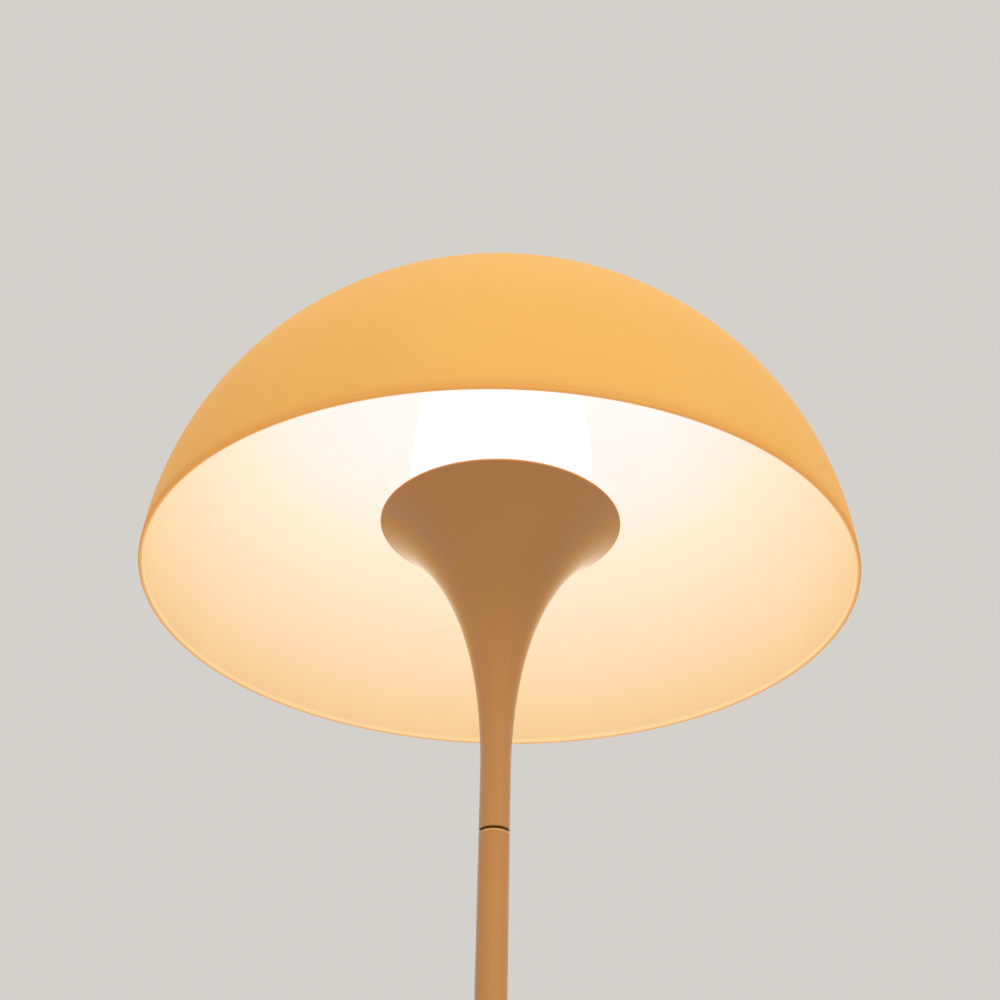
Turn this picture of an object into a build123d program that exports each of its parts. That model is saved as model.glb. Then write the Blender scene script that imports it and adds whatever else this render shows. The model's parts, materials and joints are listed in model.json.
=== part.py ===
from build123d import *
from math import asin, cos, degrees, radians, sin, sqrt, tan
import os

# ---------------------------------------------------------------------------
# Driving dimensions, in millimetres. Heights are stacked from the floor up.
# ---------------------------------------------------------------------------

# Fits
slip_fit = 0.05            # radial room of a threaded or pressed piece
tube_fit = 0.1             # radial room of a spigot in a tube
loose_fit = 0.4            # radial room of a piece that lifts out
rest_gap = 0.3             # height left between a loose piece and its seat
hole_room = 0.3            # radial room of a bolt or a tie in its hole

# Shade: a sphere cut a little above its middle
shade_radius = 250.0
shade_wall = 3.0
rim_above_centre = 11.5
rim_round = 1.4
locator_wall = 3.0
locator_depth = 7.0

# Carrier between the diffuser and the shade
carrier_height = 26.3
carrier_radius = 40.0
carrier_rim = 6.0
carrier_foot_radius = 18.0
carrier_foot_height = 4.0
carrier_stem_radius = 11.0
carrier_top_dish = 28.0
carrier_dish_depth = 2.5
pad_thickness = 2.0
pad_width = 5.0
pad_inset = 1.0

# Diffuser: straight wall, slow belly, tight crown and a flat top
diffuser_radius = 67.0
diffuser_wall = 2.5
diffuser_straight = 48.0
belly_radius = 350.0
belly_turn = 12.0
crown_radius = 38.0
spigot_radius = 62.6
spigot_depth = 8.0
gasket_thickness = 1.5
gasket_width = 4.0

# Trumpet
trumpet_length = 230.0
trumpet_wall = 1.5
trumpet_neck = 36.0        # straight length above the seam
mouth_radius = 87.0
mouth_slope = 34.0         # degrees above level at the lip
neck_pull = 67.0
mouth_pull = 78.0
lip_round = 0.6
seat_below_lip = 10.0
seat_ring_height = 7.0
bridge_below_lip = 80.0
bridge_thickness = 3.0

# Pole
pole_radius = 10.2
pole_wall = 1.5
pole_length = 669.0
seam_gap = 1.8
seam_inset = 1.1
edge_break = 0.4
coupler_spigot = 25.0

# Tie tube and its nuts
tie_radius = 5.0
tie_wall = 1.5
tie_proud = 8.0            # thread above the upper nut
tie_tail = 2.0             # thread below the lower nut
nut_flats = 17.0
nut_height = 6.0
washer_radius = 8.2
washer_thickness = 1.5

# Foot
foot_radius = 150.0
foot_height = 225.0
foot_wall = 1.5
foot_neck = 10.0
foot_edge_height = 14.0
foot_edge_round = 5.0
foot_slope = 7.0           # degrees below level at the edge
foot_neck_pull = 100.0
foot_mouth_pull = 84.0
plate_thickness = 2.0
plate_inset = 0.4
base_pad_height = 3.0
base_pad_width = 26.0
base_pad_inset = 6.0

# Ballast
ballast_edge_room = 34.0
ballast_thickness = 12.0
hub_radius = 28.0
hub_height = 58.0
hub_round = 8.0
cavity_radius = 20.0
cavity_height = 41.0
channel_width = 30.0
channel_height = 18.0

# Base plate screws
plate_screw_count = 4
plate_screw_circle_radius = 80.0
plate_screw_radius = 2.0
plate_screw_head = 4.0
plate_screw_sink = 1.8
plate_screw_length = 10.0

# Carrier screw
carrier_screw_radius = 1.5
carrier_screw_head = 3.0
carrier_screw_sink = 1.6
carrier_screw_tail = 2.0
carrier_nut_flats = 5.5
carrier_nut_height = 2.4
carrier_washer_radius = 7.0
carrier_washer_thickness = 1.0

# Lampholder
holder_gap = 0.5
holder_radius = 19.5
holder_cap_height = 24.0
holder_cap_foot = 12.5
holder_cap_floor = 4.0
holder_cap_wall = 2.2
holder_body_height = 30.0
holder_body_wall = 5.0
core_depth = 8.0
core_step = 4.0
brass_wall = 0.6
holder_shell_height = 24.0
contact_height = 3.0
contact_radius = 3.5
holder_screw_radius = 2.0
holder_screw_length = 5.0
holder_screw_spacing = 20.0

# Bulb with an E27 cap
bulb_length = 107.0
bulb_radius = 30.0
bulb_cap_radius = 13.1
bulb_cap_wall = 0.4
bulb_cap_top = 24.0
bulb_cap_low = 6.0
bulb_eyelet_radius = 4.6
bulb_eyelet_height = 1.2
bulb_insulator_radius = 9.0
bulb_insulator_top = 5.0
bulb_neck_radius = 13.4
bulb_spigot = 5.0
bulb_globe_low = 64.0
bulb_housing_wall = 2.0
bulb_globe_wall = 1.2
bulb_board_thickness = 1.6
bulb_pull = 13.0

# Inlet for the mains cord
inlet_radius = 3.5
grommet_wall = 1.4
grommet_flange = 2.4
grommet_flange_thickness = 1.5
grommet_room = 0.15

# Terminal block and leads
block_width = 30.0
block_depth = 20.0
block_height = 14.0
block_offset = 52.0        # from the lamp's axis to the block's near face
block_room = 3.0
terminal_pitch = 12.0
terminal_radius = 2.6
terminal_screw_length = 6.0
lamp_lead_radius = 2.5
switch_lead_radius = 2.0
lead_height = 8.0          # above the base plate
lead_bend = 20.0
switch_lead_offset = 9.0

# Foot-operated push switch, square to the slope of the foot
switch_place = 0.86        # share of the flare's length, from the neck
bezel_radius = 15.0
bezel_height = 2.6
bushing_radius = 12.0
bushing_lip = 3.0
button_radius = 9.0
button_proud = 3.0
button_shoulder = 1.2
shoulder_thickness = 1.5
switch_travel = 2.5
switch_nut_radius = 15.0
switch_nut_height = 3.0
switch_nut_room = 0.6
module_width = 15.0
module_depth = 7.0
module_tower = 3.0
spring_radius = 5.0
spring_wire = 0.5
spring_turns = 3

# ---------------------------------------------------------------------------
# Heights and radii that follow from them
# ---------------------------------------------------------------------------

plate_low = base_pad_height
plate_top = plate_low + plate_thickness
foot_edge_top = plate_top + foot_edge_height
lower_seam = foot_height
pole_low = lower_seam + seam_gap
pole_high = pole_low + pole_length
trumpet_low = pole_high + seam_gap
lip_height = trumpet_low + trumpet_length

pole_bore = pole_radius - pole_wall
trumpet_bore = pole_radius - trumpet_wall
foot_bore = pole_radius - foot_wall
tie_bore = tie_radius - tie_wall

bridge_low = lip_height - bridge_below_lip
bridge_high = bridge_low + bridge_thickness
upper_nut_low = bridge_high + washer_thickness
upper_nut_high = upper_nut_low + nut_height
tie_high = upper_nut_high + tie_proud

cavity_top = plate_top + cavity_height
hub_top = plate_top + hub_height
lower_nut_high = cavity_top - washer_thickness
lower_nut_low = lower_nut_high - nut_height
tie_low = lower_nut_low - tie_tail

holder_low = upper_nut_high + holder_gap
cap_top = holder_low + holder_cap_height
core_low = cap_top - core_depth
core_high = cap_top + core_step
body_high = cap_top + holder_body_height
holder_bore = holder_radius - holder_body_wall
shell_bore = holder_bore - loose_fit - brass_wall
bulb_low = core_high + contact_height + rest_gap

seat_top = lip_height - seat_below_lip
seat_bore = spigot_radius + loose_fit
gasket_top = seat_top + gasket_thickness
shoulder_height = gasket_top + rest_gap
diffuser_top = (shoulder_height + diffuser_straight
                + belly_radius * sin(radians(belly_turn))
                + crown_radius * (1 - sin(radians(belly_turn))))

carrier_top = diffuser_top + carrier_height
pad_radius = carrier_radius - pad_inset
pad_top = carrier_top + pad_thickness
inner_radius = shade_radius - shade_wall
shade_centre = pad_top + rest_gap - sqrt(inner_radius ** 2 - pad_radius ** 2)
rim_height = shade_centre + rim_above_centre


# ---------------------------------------------------------------------------
# Shapes used by more than one piece
# ---------------------------------------------------------------------------

def flare_controls(neck, mouth, from_neck, from_mouth, slope):
    """Bezier control points of a flare from a straight neck to a wide mouth, as (radius, height)."""
    turn = radians(slope)
    return [
        Vector(*neck),
        Vector(neck[0], neck[1] + from_neck),
        Vector(mouth[0] - from_mouth * cos(turn), mouth[1] - from_mouth * sin(turn)),
        Vector(*mouth),
    ]


def inset(controls, distance):
    """The same flare moved square to itself, to the left of its direction."""
    legs = [(b - a).normalized() for a, b in zip(controls, controls[1:])]
    normals = [Vector(-leg.Y, leg.X) for leg in legs]
    moves = [normals[0]]
    for first, second in zip(normals, normals[1:]):
        moves.append((first + second) * (1 / (1 + first.dot(second))))
    moves.append(normals[-1])
    return [point + move * distance for point, move in zip(controls, moves)]


def ring(low, high, bore, radius):
    """A plain ring on the lamp's axis."""
    with BuildPart() as piece:
        with BuildSketch(Plane.XY.offset(low)):
            Circle(radius)
            Circle(bore, mode=Mode.SUBTRACT)
        extrude(amount=high - low)
    return piece.part


def turned(*corners):
    """A piece turned about the lamp's axis from the corners of its section, as (radius, height)."""
    with BuildPart() as piece:
        with BuildSketch(Plane.XZ):
            with BuildLine():
                Polyline(*corners, close=True)
            make_face()
        revolve(axis=Axis.Z)
    return piece.part


def hex_nut(low, height, flats, bore):
    """A hexagon nut on the lamp's axis."""
    with BuildPart() as piece:
        with BuildSketch(Plane.XY.offset(low)):
            RegularPolygon(flats / 2, 6, major_radius=False)
            Circle(bore, mode=Mode.SUBTRACT)
        extrude(amount=height)
    return piece.part


def sunk_screw(radius, head, sink, length, room=0.0):
    """A countersunk screw with its head's face at z = 0 and its shank along +Z."""
    with BuildPart() as piece:
        with BuildSketch(Plane.XZ):
            with BuildLine():
                Polyline(
                    (0, 0), (head + room, 0), (radius + room, sink), (radius + room, length), (0, length),
                    close=True,
                )
            make_face()
        revolve(axis=Axis.Z)
    return piece.part


def lead(name, radius, points):
    """A round lead along straight runs joined by arcs as large as its runs allow."""
    runs = [b - a for a, b in zip(points, points[1:])]
    bends = []
    for before, after in zip(runs, runs[1:]):
        half_turn = radians(before.get_angle(after)) / 2
        bends.append(min(lead_bend, 0.45 * min(before.length, after.length) / tan(half_turn)))
    print(name, "bend radii", [round(bend, 1) for bend in bends])
    with BuildPart() as piece:
        with BuildLine() as path:
            FilletPolyline(*points, radius=bends)
        with BuildSketch(Plane(origin=path.line @ 0, z_dir=path.line % 0)):
            Circle(radius)
        sweep()
    return piece.part


trumpet_outside = flare_controls(
    (pole_radius, trumpet_low + trumpet_neck), (mouth_radius, lip_height), neck_pull, mouth_pull, mouth_slope
)
foot_outside = flare_controls(
    (pole_radius, lower_seam - foot_neck), (foot_radius, foot_edge_top), -foot_neck_pull, foot_mouth_pull,
    -foot_slope,
)

# ---------------------------------------------------------------------------
# Shade and its carrier
# ---------------------------------------------------------------------------

# Opal dome with a rounded rim and a locating ring under its top
with BuildPart() as shade:
    with BuildSketch(Plane.XZ) as dome_section:
        with BuildLine():
            outer_start = degrees(asin(rim_above_centre / shade_radius))
            inner_start = degrees(asin(rim_above_centre / inner_radius))
            outside = CenterArc((0, shade_centre), shade_radius, outer_start, 90 - outer_start)
            inside = CenterArc((0, shade_centre), inner_radius, inner_start, 90 - inner_start)
            Line(outside @ 0, inside @ 0)
            Line(outside @ 1, inside @ 1)
        make_face()
        fillet(dome_section.vertices().group_by(Axis.Y)[0], min(rim_round, 0.49 * shade_wall))
    revolve(axis=Axis.Z)
    locator_bore = carrier_radius + loose_fit
    with BuildSketch(Plane.XY.offset(pad_top - locator_depth)):
        Circle(locator_bore + locator_wall)
        Circle(locator_bore, mode=Mode.SUBTRACT)
    extrude(amount=shade_centre + sqrt(inner_radius ** 2 - locator_bore ** 2) + shade_wall / 4
            - pad_top + locator_depth)
shade.part.label = "shade"

# Soft ring that the shade rests on
with BuildPart() as shade_pad:
    add(ring(carrier_top, pad_top, pad_radius - pad_width, pad_radius))
shade_pad.part.label = "shade_pad"

# Turned carrier: foot on the diffuser, stem, and a wide rim under the shade
with BuildPart() as shade_carrier:
    with BuildSketch(Plane.XZ) as carrier_section:
        with BuildLine():
            carrier_bore = carrier_screw_radius + slip_fit
            dish_floor = carrier_top - carrier_dish_depth
            Polyline(
                (carrier_bore, diffuser_top),
                (carrier_foot_radius, diffuser_top),
                (carrier_foot_radius, diffuser_top + carrier_foot_height),
                (carrier_stem_radius, diffuser_top + carrier_foot_height),
                (carrier_stem_radius, carrier_top - carrier_rim - carrier_foot_height),
                (carrier_radius, carrier_top - carrier_rim),
                (carrier_radius, carrier_top),
                (carrier_top_dish, carrier_top),
                (carrier_top_dish, dish_floor),
                (carrier_screw_head + slip_fit, dish_floor),
                (carrier_bore, dish_floor - carrier_screw_sink),
                close=True,
            )
        make_face()
    revolve(axis=Axis.Z)
    fillet(shade_carrier.edges().filter_by(GeomType.CIRCLE).filter_by(
        lambda edge: edge.radius > carrier_stem_radius and edge.center().Z < carrier_top), edge_break)
shade_carrier.part.label = "shade_carrier"

# Screw, washer and nut that hold the carrier on the diffuser
diffuser_inner_top = diffuser_top - diffuser_wall
carrier_nut_high = diffuser_inner_top - carrier_washer_thickness
carrier_nut_low = carrier_nut_high - carrier_nut_height
with BuildPart() as carrier_screw:
    screw_length = dish_floor - carrier_nut_low + carrier_screw_tail
    add(
        sunk_screw(carrier_screw_radius, carrier_screw_head, carrier_screw_sink, screw_length)
        .rotate(Axis.X, 180).moved(Location((0, 0, dish_floor)))
    )
carrier_screw.part.label = "carrier_screw"

with BuildPart() as carrier_washer:
    add(ring(carrier_nut_high, diffuser_inner_top, carrier_screw_radius + slip_fit, carrier_washer_radius))
carrier_washer.part.label = "carrier_washer"

with BuildPart() as carrier_nut:
    add(hex_nut(carrier_nut_low, carrier_nut_height, carrier_nut_flats, carrier_screw_radius + slip_fit))
carrier_nut.part.label = "carrier_nut"

# ---------------------------------------------------------------------------
# Diffuser
# ---------------------------------------------------------------------------


def diffuser_side(depth):
    """Side and top of the diffuser, moved inwards by a depth, drawn in the current line builder."""
    radius = diffuser_radius - depth
    wall = Line((radius, shoulder_height), (radius, shoulder_height + diffuser_straight))
    belly = JernArc(wall @ 1, wall % 1, belly_radius - depth, belly_turn)
    crown = JernArc(belly @ 1, belly % 1, crown_radius - depth, 90 - belly_turn)
    top = Line(crown @ 1, (carrier_screw_radius + hole_room, (crown @ 1).Y))
    return wall @ 0, top @ 1


# Opal cup with a spigot that drops into the seat ring
with BuildPart() as diffuser:
    with BuildSketch(Plane.XZ):
        with BuildLine():
            outer_foot, outer_top = diffuser_side(0)
            inner_foot, inner_top = diffuser_side(diffuser_wall)
            Line(outer_foot, inner_foot)
            Line(outer_top, inner_top)
        make_face()
    revolve(axis=Axis.Z)
    spigot_bore = spigot_radius - diffuser_wall
    with BuildSketch(Plane.XY.offset(shoulder_height - spigot_depth)):
        Circle(spigot_radius)
        Circle(spigot_bore, mode=Mode.SUBTRACT)
    extrude(amount=spigot_depth)
    with BuildSketch(Plane.XY.offset(shoulder_height)):
        Circle(diffuser_radius - diffuser_wall / 2)
        Circle(spigot_bore, mode=Mode.SUBTRACT)
    extrude(amount=diffuser_wall)
diffuser.part.label = "diffuser"

# ---------------------------------------------------------------------------
# Trumpet and what is wedged in it
# ---------------------------------------------------------------------------

# Flared neck with a thin rounded lip
with BuildPart() as trumpet:
    with BuildSketch(Plane.XZ) as trumpet_section:
        with BuildLine():
            flare = Bezier(*trumpet_outside)
            lining = Bezier(*inset(trumpet_outside, trumpet_wall))
            Line(flare @ 1, lining @ 1)
            Polyline(flare @ 0, (pole_radius, trumpet_low), (trumpet_bore, trumpet_low), lining @ 0)
        make_face()
    revolve(axis=Axis.Z)
    trumpet_rings = trumpet.edges().filter_by(GeomType.CIRCLE).sort_by(Axis.Z)
    fillet(trumpet_rings[-2:], min(lip_round, 0.45 * trumpet_wall))
    chamfer(trumpet.edges().group_by(Axis.Z)[0].sort_by(SortBy.RADIUS)[-1], edge_break)
trumpet.part.label = "trumpet"

# The trumpet's inside, less a slip fit, which shapes the pieces wedged in it
with BuildPart() as trumpet_inside:
    with BuildSketch(Plane.XZ):
        with BuildLine():
            hollow = Bezier(*inset(trumpet_outside, trumpet_wall + slip_fit))
            Polyline(hollow @ 0, (0, (hollow @ 0).Y), (0, (hollow @ 1).Y), hollow @ 1)
        make_face()
    revolve(axis=Axis.Z)

# Ring that carries the diffuser
with BuildPart() as seat_ring:
    add(ring(seat_top - seat_ring_height, seat_top, seat_bore, mouth_radius))
    add(trumpet_inside.part, mode=Mode.INTERSECT)
seat_ring.part.label = "seat_ring"

with BuildPart() as diffuser_gasket:
    add(ring(seat_top, gasket_top, seat_bore, seat_bore + gasket_width))
diffuser_gasket.part.label = "diffuser_gasket"

# Disc that the tie tube's nut pulls down into the trumpet
with BuildPart() as bridge:
    add(ring(bridge_low, bridge_high, tie_radius + slip_fit, mouth_radius))
    add(trumpet_inside.part, mode=Mode.INTERSECT)
bridge.part.label = "bridge"

with BuildPart() as upper_washer:
    add(ring(bridge_high, upper_nut_low, tie_radius + slip_fit, washer_radius))
upper_washer.part.label = "upper_washer"

with BuildPart() as upper_nut:
    add(hex_nut(upper_nut_low, nut_height, nut_flats, tie_radius + slip_fit))
upper_nut.part.label = "upper_nut"

# ---------------------------------------------------------------------------
# Pole
# ---------------------------------------------------------------------------

with BuildPart() as pole_tube:
    add(ring(pole_low, pole_high, pole_bore, pole_radius))
    pole_ends = pole_tube.edges().filter_by(GeomType.CIRCLE).group_by(SortBy.RADIUS)[-1]
    chamfer(pole_ends, edge_break)
pole_tube.part.label = "pole_tube"

with BuildPart() as tie_tube:
    add(ring(tie_low, tie_high, tie_bore, tie_radius))
tie_tube.part.label = "tie_tube"


def coupler(seam, bore_below, bore_above):
    """A sleeve with a collar that fills the shadow gap between two tubes."""
    below = bore_below - tube_fit
    above = bore_above - tube_fit
    collar = pole_radius - seam_inset
    bore = tie_radius + slip_fit
    return turned(
        (bore, seam - coupler_spigot), (below, seam - coupler_spigot), (below, seam), (collar, seam),
        (collar, seam + seam_gap), (above, seam + seam_gap), (above, seam + seam_gap + coupler_spigot),
        (bore, seam + seam_gap + coupler_spigot),
    )


with BuildPart() as upper_coupler:
    add(coupler(pole_high, pole_bore, trumpet_bore))
upper_coupler.part.label = "upper_coupler"

with BuildPart() as lower_coupler:
    add(coupler(lower_seam, foot_bore, pole_bore))
lower_coupler.part.label = "lower_coupler"

# ---------------------------------------------------------------------------
# Foot
# ---------------------------------------------------------------------------

foot_curve = Bezier(*foot_outside)
switch_seat = foot_curve @ switch_place
switch_run = foot_curve % switch_place
switch_plane = Plane(
    origin=(0, -switch_seat.X, switch_seat.Y), x_dir=(1, 0, 0), z_dir=(0, switch_run.Y, switch_run.X)
)
inlet_height = plate_top + foot_edge_height / 2
inlet_plane = Plane(origin=(0, foot_radius, inlet_height), x_dir=(-1, 0, 0), z_dir=(0, 1, 0))
grommet_radius = inlet_radius + grommet_wall

# Flared shell with a low upright edge, a hole for the switch and one for the grommet
with BuildPart() as foot_shell:
    with BuildSketch(Plane.XZ):
        with BuildLine():
            foot_flare = Bezier(*foot_outside)
            foot_lining = Bezier(*inset(foot_outside, -foot_wall))
            foot_inner = foot_radius - foot_wall
            Polyline(
                foot_flare @ 1, (foot_radius, plate_top), (foot_inner, plate_top),
                (foot_inner, (foot_lining @ 1).Y), foot_lining @ 1,
            )
            Polyline(foot_flare @ 0, (pole_radius, lower_seam), (foot_bore, lower_seam), foot_lining @ 0)
        make_face()
    revolve(axis=Axis.Z)
    foot_rims = foot_shell.edges().filter_by(GeomType.CIRCLE).filter_by(
        lambda edge: abs(edge.radius - foot_radius) < edge_break).sort_by(Axis.Z)
    fillet(foot_rims[-1], foot_edge_round)
    chamfer(foot_shell.edges().group_by(Axis.Z)[-1].sort_by(SortBy.RADIUS)[-1], edge_break)
    with BuildSketch(switch_plane):
        Circle(bushing_radius + hole_room)
    extrude(amount=bushing_radius, both=True, mode=Mode.SUBTRACT)
    with BuildSketch(inlet_plane):
        Circle(grommet_radius + tube_fit)
    extrude(amount=-2 * foot_wall, mode=Mode.SUBTRACT)
foot_shell.part.label = "foot_shell"

# Rubber bush with a flange on each side of the shell
with BuildPart() as cable_grommet:
    outer_face = grommet_room
    inner_face = -foot_wall - grommet_room
    flange_radius = grommet_radius - grommet_wall + grommet_flange
    for low, high, radius in (
        (outer_face, outer_face + grommet_flange_thickness, flange_radius),
        (inner_face, outer_face, grommet_radius),
        (inner_face - grommet_flange_thickness, inner_face, flange_radius),
    ):
        with BuildSketch(inlet_plane.offset(low)):
            Circle(radius)
            Circle(inlet_radius, mode=Mode.SUBTRACT)
        extrude(amount=high - low)
cable_grommet.part.label = "cable_grommet"

ballast_radius = foot_radius - ballast_edge_room
ballast_top = plate_top + ballast_thickness
block_middle = block_offset + block_depth / 2

# Cast-iron disc and hub, with a cavity for the nut and a channel for the leads
with BuildPart() as ballast:
    with BuildSketch(Plane.XY.offset(plate_top)):
        Circle(ballast_radius)
    extrude(amount=ballast_thickness)
    with BuildSketch(Plane.XY.offset(plate_top)):
        Circle(hub_radius)
    extrude(amount=hub_height)
    hub_foot = ballast.edges().filter_by(GeomType.CIRCLE).filter_by(
        lambda edge: abs(edge.center().Z - ballast_top) < edge_break).sort_by(SortBy.RADIUS)[0]
    fillet(hub_foot, hub_round)
    with BuildSketch(Plane.XY.offset(plate_top)):
        Circle(cavity_radius)
    extrude(amount=cavity_height, mode=Mode.SUBTRACT)
    with BuildSketch(Plane.XY.offset(plate_top)):
        Circle(tie_radius + hole_room)
    extrude(amount=hub_height, mode=Mode.SUBTRACT)
    channel_end = block_offset + block_depth + block_room
    with BuildSketch(Plane.XY.offset(plate_top)):
        with Locations((0, (channel_end - ballast_radius) / 2)):
            Rectangle(channel_width + 2 * block_room, channel_end + ballast_radius)
    extrude(amount=channel_height, mode=Mode.SUBTRACT)
    with BuildSketch(Plane.XY.offset(plate_top)):
        with PolarLocations(plate_screw_circle_radius, plate_screw_count, start_angle=180 / plate_screw_count):
            Circle(plate_screw_radius + slip_fit)
    extrude(amount=plate_screw_length, mode=Mode.SUBTRACT)
ballast.part.label = "ballast"

# Sleeve from the ballast's hub up to the lower coupler
with BuildPart() as foot_spacer:
    add(ring(hub_top, lower_seam - coupler_spigot, tie_radius + slip_fit, foot_bore - tube_fit))
foot_spacer.part.label = "foot_spacer"

with BuildPart() as lower_washer:
    add(ring(lower_nut_high, cavity_top, tie_radius + slip_fit, washer_radius))
lower_washer.part.label = "lower_washer"

with BuildPart() as lower_nut:
    add(hex_nut(lower_nut_low, nut_height, nut_flats, tie_radius + slip_fit))
lower_nut.part.label = "lower_nut"

plate_screw_places = PolarLocations(
    plate_screw_circle_radius, plate_screw_count, start_angle=180 / plate_screw_count).local_locations

# Steel plate under the ballast, with countersunk holes
with BuildPart() as base_plate:
    with BuildSketch(Plane.XY.offset(plate_low)):
        Circle(foot_radius - plate_inset)
    extrude(amount=plate_thickness)
    screw_room = sunk_screw(
        plate_screw_radius, plate_screw_head, plate_screw_sink, plate_screw_length, slip_fit)
    for place in plate_screw_places:
        add(screw_room.moved(Location((0, 0, plate_low)) * place), mode=Mode.SUBTRACT)
base_plate.part.label = "base_plate"

with BuildPart() as plate_screws:
    one_screw = sunk_screw(plate_screw_radius, plate_screw_head, plate_screw_sink, plate_screw_length)
    for place in plate_screw_places:
        add(one_screw.moved(Location((0, 0, plate_low)) * place))
plate_screws.part.label = "plate_screws"

# Rubber ring that the lamp stands on
with BuildPart() as base_pad:
    base_pad_radius = foot_radius - base_pad_inset
    add(ring(0, base_pad_height, base_pad_radius - base_pad_width, base_pad_radius))
base_pad.part.label = "base_pad"

# ---------------------------------------------------------------------------
# Wiring
# ---------------------------------------------------------------------------

terminals = [(-terminal_pitch / 2, block_middle), (terminal_pitch / 2, block_middle)]
block_top = plate_top + block_height

with BuildPart() as terminal_block:
    with BuildSketch(Plane.XY.offset(plate_top)):
        with Locations((0, block_middle)):
            Rectangle(block_width, block_depth)
    extrude(amount=block_height)
    with BuildSketch(Plane.XY.offset(block_top)):
        with Locations(*terminals):
            Circle(terminal_radius + slip_fit)
    extrude(amount=-terminal_screw_length, mode=Mode.SUBTRACT)
terminal_block.part.label = "terminal_block"

with BuildPart() as terminal_screws:
    with BuildSketch(Plane.XY.offset(block_top)):
        with Locations(*terminals):
            Circle(terminal_radius)
    extrude(amount=-terminal_screw_length)
terminal_screws.part.label = "terminal_screws"

lead_level = plate_top + lead_height

with BuildPart() as lamp_lead:
    add(lead("lamp_lead", lamp_lead_radius, [
        Vector(0, block_offset, lead_level),
        Vector(0, 0, lead_level),
        Vector(0, 0, core_low),
    ]))
lamp_lead.part.label = "lamp_lead"

# ---------------------------------------------------------------------------
# Switch
# ---------------------------------------------------------------------------

shoulder_high = bezel_height - bushing_lip - rest_gap
button_low = shoulder_high - shoulder_thickness
spring_solid = 2 * spring_wire * (spring_turns + 1)
module_top = button_low - switch_travel - spring_solid - rest_gap
module_low = module_top - module_depth
switch_height = bezel_height - module_top
switch_axis = Axis(switch_plane.origin, switch_plane.z_dir)

# Everything under the foot's outer face, which shapes the bezel's seat
with BuildPart() as foot_cover:
    with BuildSketch(Plane.XZ):
        with BuildLine():
            cover_line = Bezier(*inset(foot_outside, slip_fit))
            Polyline(cover_line @ 0, (0, (cover_line @ 0).Y), (0, (cover_line @ 1).Y), cover_line @ 1)
        make_face()
    revolve(axis=Axis.Z)

# Bezel on the shell with a bushing through it and a lip that keeps the button
with BuildPart() as switch_bezel:
    with BuildSketch(switch_plane.offset(-foot_wall / 2)):
        Circle(bezel_radius)
    extrude(amount=bezel_height + foot_wall / 2)
    fillet(switch_bezel.edges().sort_by(switch_axis)[-1], 2 * edge_break)
    add(foot_cover.part, mode=Mode.SUBTRACT)
    with BuildSketch(switch_plane.offset(module_top)):
        Circle(bushing_radius)
    extrude(amount=switch_height - bushing_lip / 2)
    with BuildSketch(switch_plane.offset(module_top)):
        Circle(button_radius + button_shoulder + rest_gap)
    extrude(amount=switch_height - bushing_lip, mode=Mode.SUBTRACT)
    with BuildSketch(switch_plane.offset(module_top)):
        Circle(button_radius + rest_gap)
    extrude(amount=switch_height, mode=Mode.SUBTRACT)
switch_bezel.part.label = "switch_bezel"

# Contact box closed onto the bushing's end
with BuildPart() as switch_module:
    with BuildSketch(switch_plane.offset(module_low)):
        Rectangle(2 * module_width, 2 * module_width - module_tower)
    extrude(amount=module_depth)
    chamfer(switch_module.edges().filter_by(switch_axis), 2 * edge_break)
switch_module.part.label = "switch_module"

with BuildPart() as switch_nut:
    nut_top = -foot_wall - switch_nut_room
    with BuildSketch(switch_plane.offset(nut_top - switch_nut_height)):
        Circle(switch_nut_radius)
        Circle(bushing_radius + slip_fit, mode=Mode.SUBTRACT)
    extrude(amount=switch_nut_height)
switch_nut.part.label = "switch_nut"

with BuildPart() as switch_button:
    with BuildSketch(switch_plane.offset(button_low)):
        Circle(button_radius)
    extrude(amount=bezel_height + button_proud - button_low)
    fillet(switch_button.edges().sort_by(switch_axis)[-1], button_proud / 2)
    with BuildSketch(switch_plane.offset(button_low)):
        Circle(button_radius + button_shoulder)
    extrude(amount=shoulder_thickness)
switch_button.part.label = "switch_button"

# Return spring, a coil of round wire between the module and the button
with BuildPart() as switch_spring:
    coil_height = button_low - module_top - 2 * spring_wire - rest_gap
    coil_low = module_top + spring_wire + rest_gap / 2
    with BuildLine():
        coil = Helix(
            pitch=coil_height / spring_turns, height=coil_height, radius=spring_radius,
            center=switch_plane.offset(coil_low).origin, direction=switch_plane.z_dir,
        )
    with BuildSketch(Plane(origin=coil @ 0, z_dir=coil % 0)):
        Circle(spring_wire)
    sweep()
switch_spring.part.label = "switch_spring"

module_side = switch_plane.from_local_coords(
    (switch_lead_offset, module_width - module_tower / 2, (module_top + module_low) / 2))
lead_away = switch_plane.y_dir * switch_lead_offset
with BuildPart() as switch_lead:
    add(lead("switch_lead", switch_lead_radius, [
        module_side,
        module_side + lead_away,
        Vector(switch_lead_offset + switch_lead_radius, module_side.Y / 2, lead_level - switch_lead_radius),
        Vector(switch_lead_offset, 0, lead_level),
        Vector(switch_lead_offset, block_offset, lead_level),
    ]))
switch_lead.part.label = "switch_lead"

# ---------------------------------------------------------------------------
# Lampholder
# ---------------------------------------------------------------------------

# Cap that screws onto the tie tube
with BuildPart() as holder_cap:
    floor_top = holder_low + holder_cap_floor
    add(turned(
        (tie_radius + slip_fit, holder_low),
        (holder_cap_foot, holder_low),
        (holder_radius, cap_top - holder_cap_height / 2),
        (holder_radius, cap_top),
        (holder_radius - holder_cap_wall, cap_top),
        (holder_radius - holder_cap_wall, cap_top - holder_cap_height / 2),
        (holder_cap_foot - holder_cap_wall, floor_top),
        (tie_radius + slip_fit, floor_top),
    ))
holder_cap.part.label = "holder_cap"

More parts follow.
